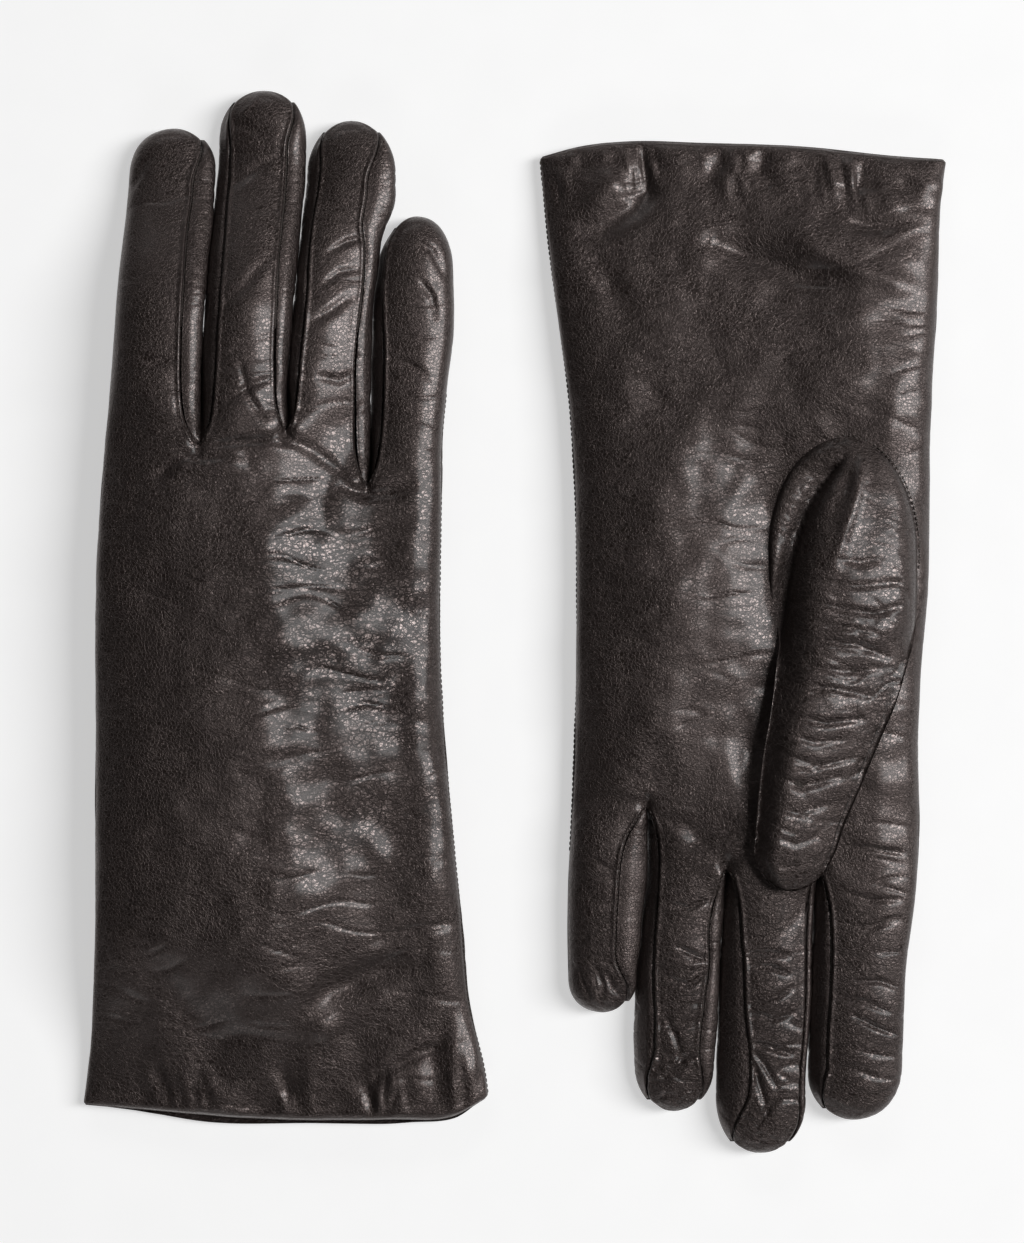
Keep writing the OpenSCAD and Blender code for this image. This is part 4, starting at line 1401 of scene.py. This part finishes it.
def thread_material():
    """Waxed sewing thread with its ply showing."""
    material, nodes, links, shader = new_material("sewing_thread")
    grain = add(nodes, "ShaderNodeTexNoise", Scale=900.0, Detail=2.0)
    place = add(nodes, "ShaderNodeTexCoord")
    links.new(place.outputs["Object"], grain.inputs["Vector"])
    dark, light = (0.02, 0.014, 0.012), (0.06, 0.045, 0.038)
    colour = ramp(nodes, links, grain.outputs["Fac"], 0.3, 0.7, dark, light)
    links.new(colour.outputs["Color"], shader.inputs["Base Color"])
    raise_by(nodes, links, shader, grain.outputs["Fac"], 0.5, 0.0001)
    shader.inputs["Roughness"].default_value = 0.42
    return material


# ---- Floor, light and camera ----

def make_stage():
    """A table top of white paper; it glows a little, as paper does in a white studio."""
    mesh = bpy.data.meshes.new("table_top")
    reach = 3.0
    corners = [(-reach, -reach, 0), (reach, -reach, 0), (reach, reach, 0), (-reach, reach, 0)]
    mesh.from_pydata(corners, [], [(0, 1, 2, 3)])
    table = bpy.data.objects.new("table_top", mesh)
    bpy.context.scene.collection.objects.link(table)
    material, nodes, links, shader = new_material("white_paper")
    fibre = add(nodes, "ShaderNodeTexNoise", Scale=60.0, Detail=5.0)
    place = add(nodes, "ShaderNodeTexCoord")
    links.new(place.outputs["Object"], fibre.inputs["Vector"])
    colour = ramp(nodes, links, fibre.outputs["Fac"], 0.3, 0.7, (0.62, 0.62, 0.62), (0.64, 0.64, 0.64))
    links.new(colour.outputs["Color"], shader.inputs["Base Color"])
    shader.inputs["Roughness"].default_value = 0.8
    shader.inputs["Specular IOR Level"].default_value = 0.1
    shader.inputs["Emission Color"].default_value = (1, 1, 1, 1)
    shader.inputs["Emission Strength"].default_value = 0.51
    table.data.materials.append(material)


def add_light(name, place, size, power):
    """A rectangular lamp that faces the pair."""
    light = bpy.data.lights.new(name, "AREA")
    light.shape = "RECTANGLE"
    light.size, light.size_y = size
    light.energy = power
    lamp = bpy.data.objects.new(name, light)
    lamp.location = place
    lamp.rotation_euler = (-lamp.location).to_track_quat("-Z", "Y").to_euler()
    bpy.context.scene.collection.objects.link(lamp)


def make_lights():
    """A large soft light from the right, and two weak ones beyond the pair's ends."""
    scene = bpy.context.scene
    world = bpy.data.worlds.new("studio")
    world.use_nodes = True
    background = world.node_tree.nodes["Background"]
    background.inputs["Color"].default_value = (1.0, 0.995, 0.99, 1)
    background.inputs["Strength"].default_value = 0.035
    scene.world = world
    add_light("key_softbox", (1.75, 0.25, 1.95), (0.75, 1.8), 57.0)
    add_light("far_softbox", (-0.4, 2.0, 1.1), (1.6, 0.5), 4.5)
    add_light("near_softbox", (-0.2, -2.0, 1.0), (1.6, 0.5), 4.0)
    scene.view_settings.view_transform = "Standard"


def make_camera():
    """Straight above the pair, as far away as its whole picture needs."""
    picture_height = 0.3232
    lens, film = 100.0, 36.0
    camera = bpy.data.cameras.new("camera")
    camera.lens = lens
    camera.sensor_width = film
    camera.clip_start = 0.01
    holder = bpy.data.objects.new("camera", camera)
    holder.location = (0, 0, picture_height * lens / film + 0.006)
    bpy.context.scene.collection.objects.link(holder)
    bpy.context.scene.camera = holder


# ---- The pair ----

make_camera()
make_stage()
make_lights()
nappa = leather_material("nappa_leather", (0.0017, 0.0009, 0.0007), (0.0068, 0.0036, 0.0027), 0.32)
# A slightly darker, a little rougher copy of the nappa for the fourchettes, the webs between the
# fingers and the hem: its darker colour is painted shade for leather that lies between the fingers and
# inside the cuff.
nappa_fold_shaded = leather_material("nappa_fold_shaded", (0.0016, 0.0009, 0.0007), (0.006, 0.0032, 0.0025), 0.34)
knit = knit_material()
thread = thread_material()

for side in SIDES:
    for top in (BACK, PALM):
        hand_panel(side, top, nappa)
        for k in range(4):
            finger_panel(side, top, k, nappa)
    fourchette_roots(side, nappa_fold_shaded)
    for k, at_low, name in FOURCHETTES:
        finger_strip(side, k, at_low, f"{side}_{name}", nappa_fold_shaded)
    cuff_parts(side, nappa_fold_shaded, knit)
    for k in range(4):
        finger_lining(side, k, knit)
    thumb(side, nappa, knit)
    finger_threads(side, thread)
    hand_threads(side, thread)
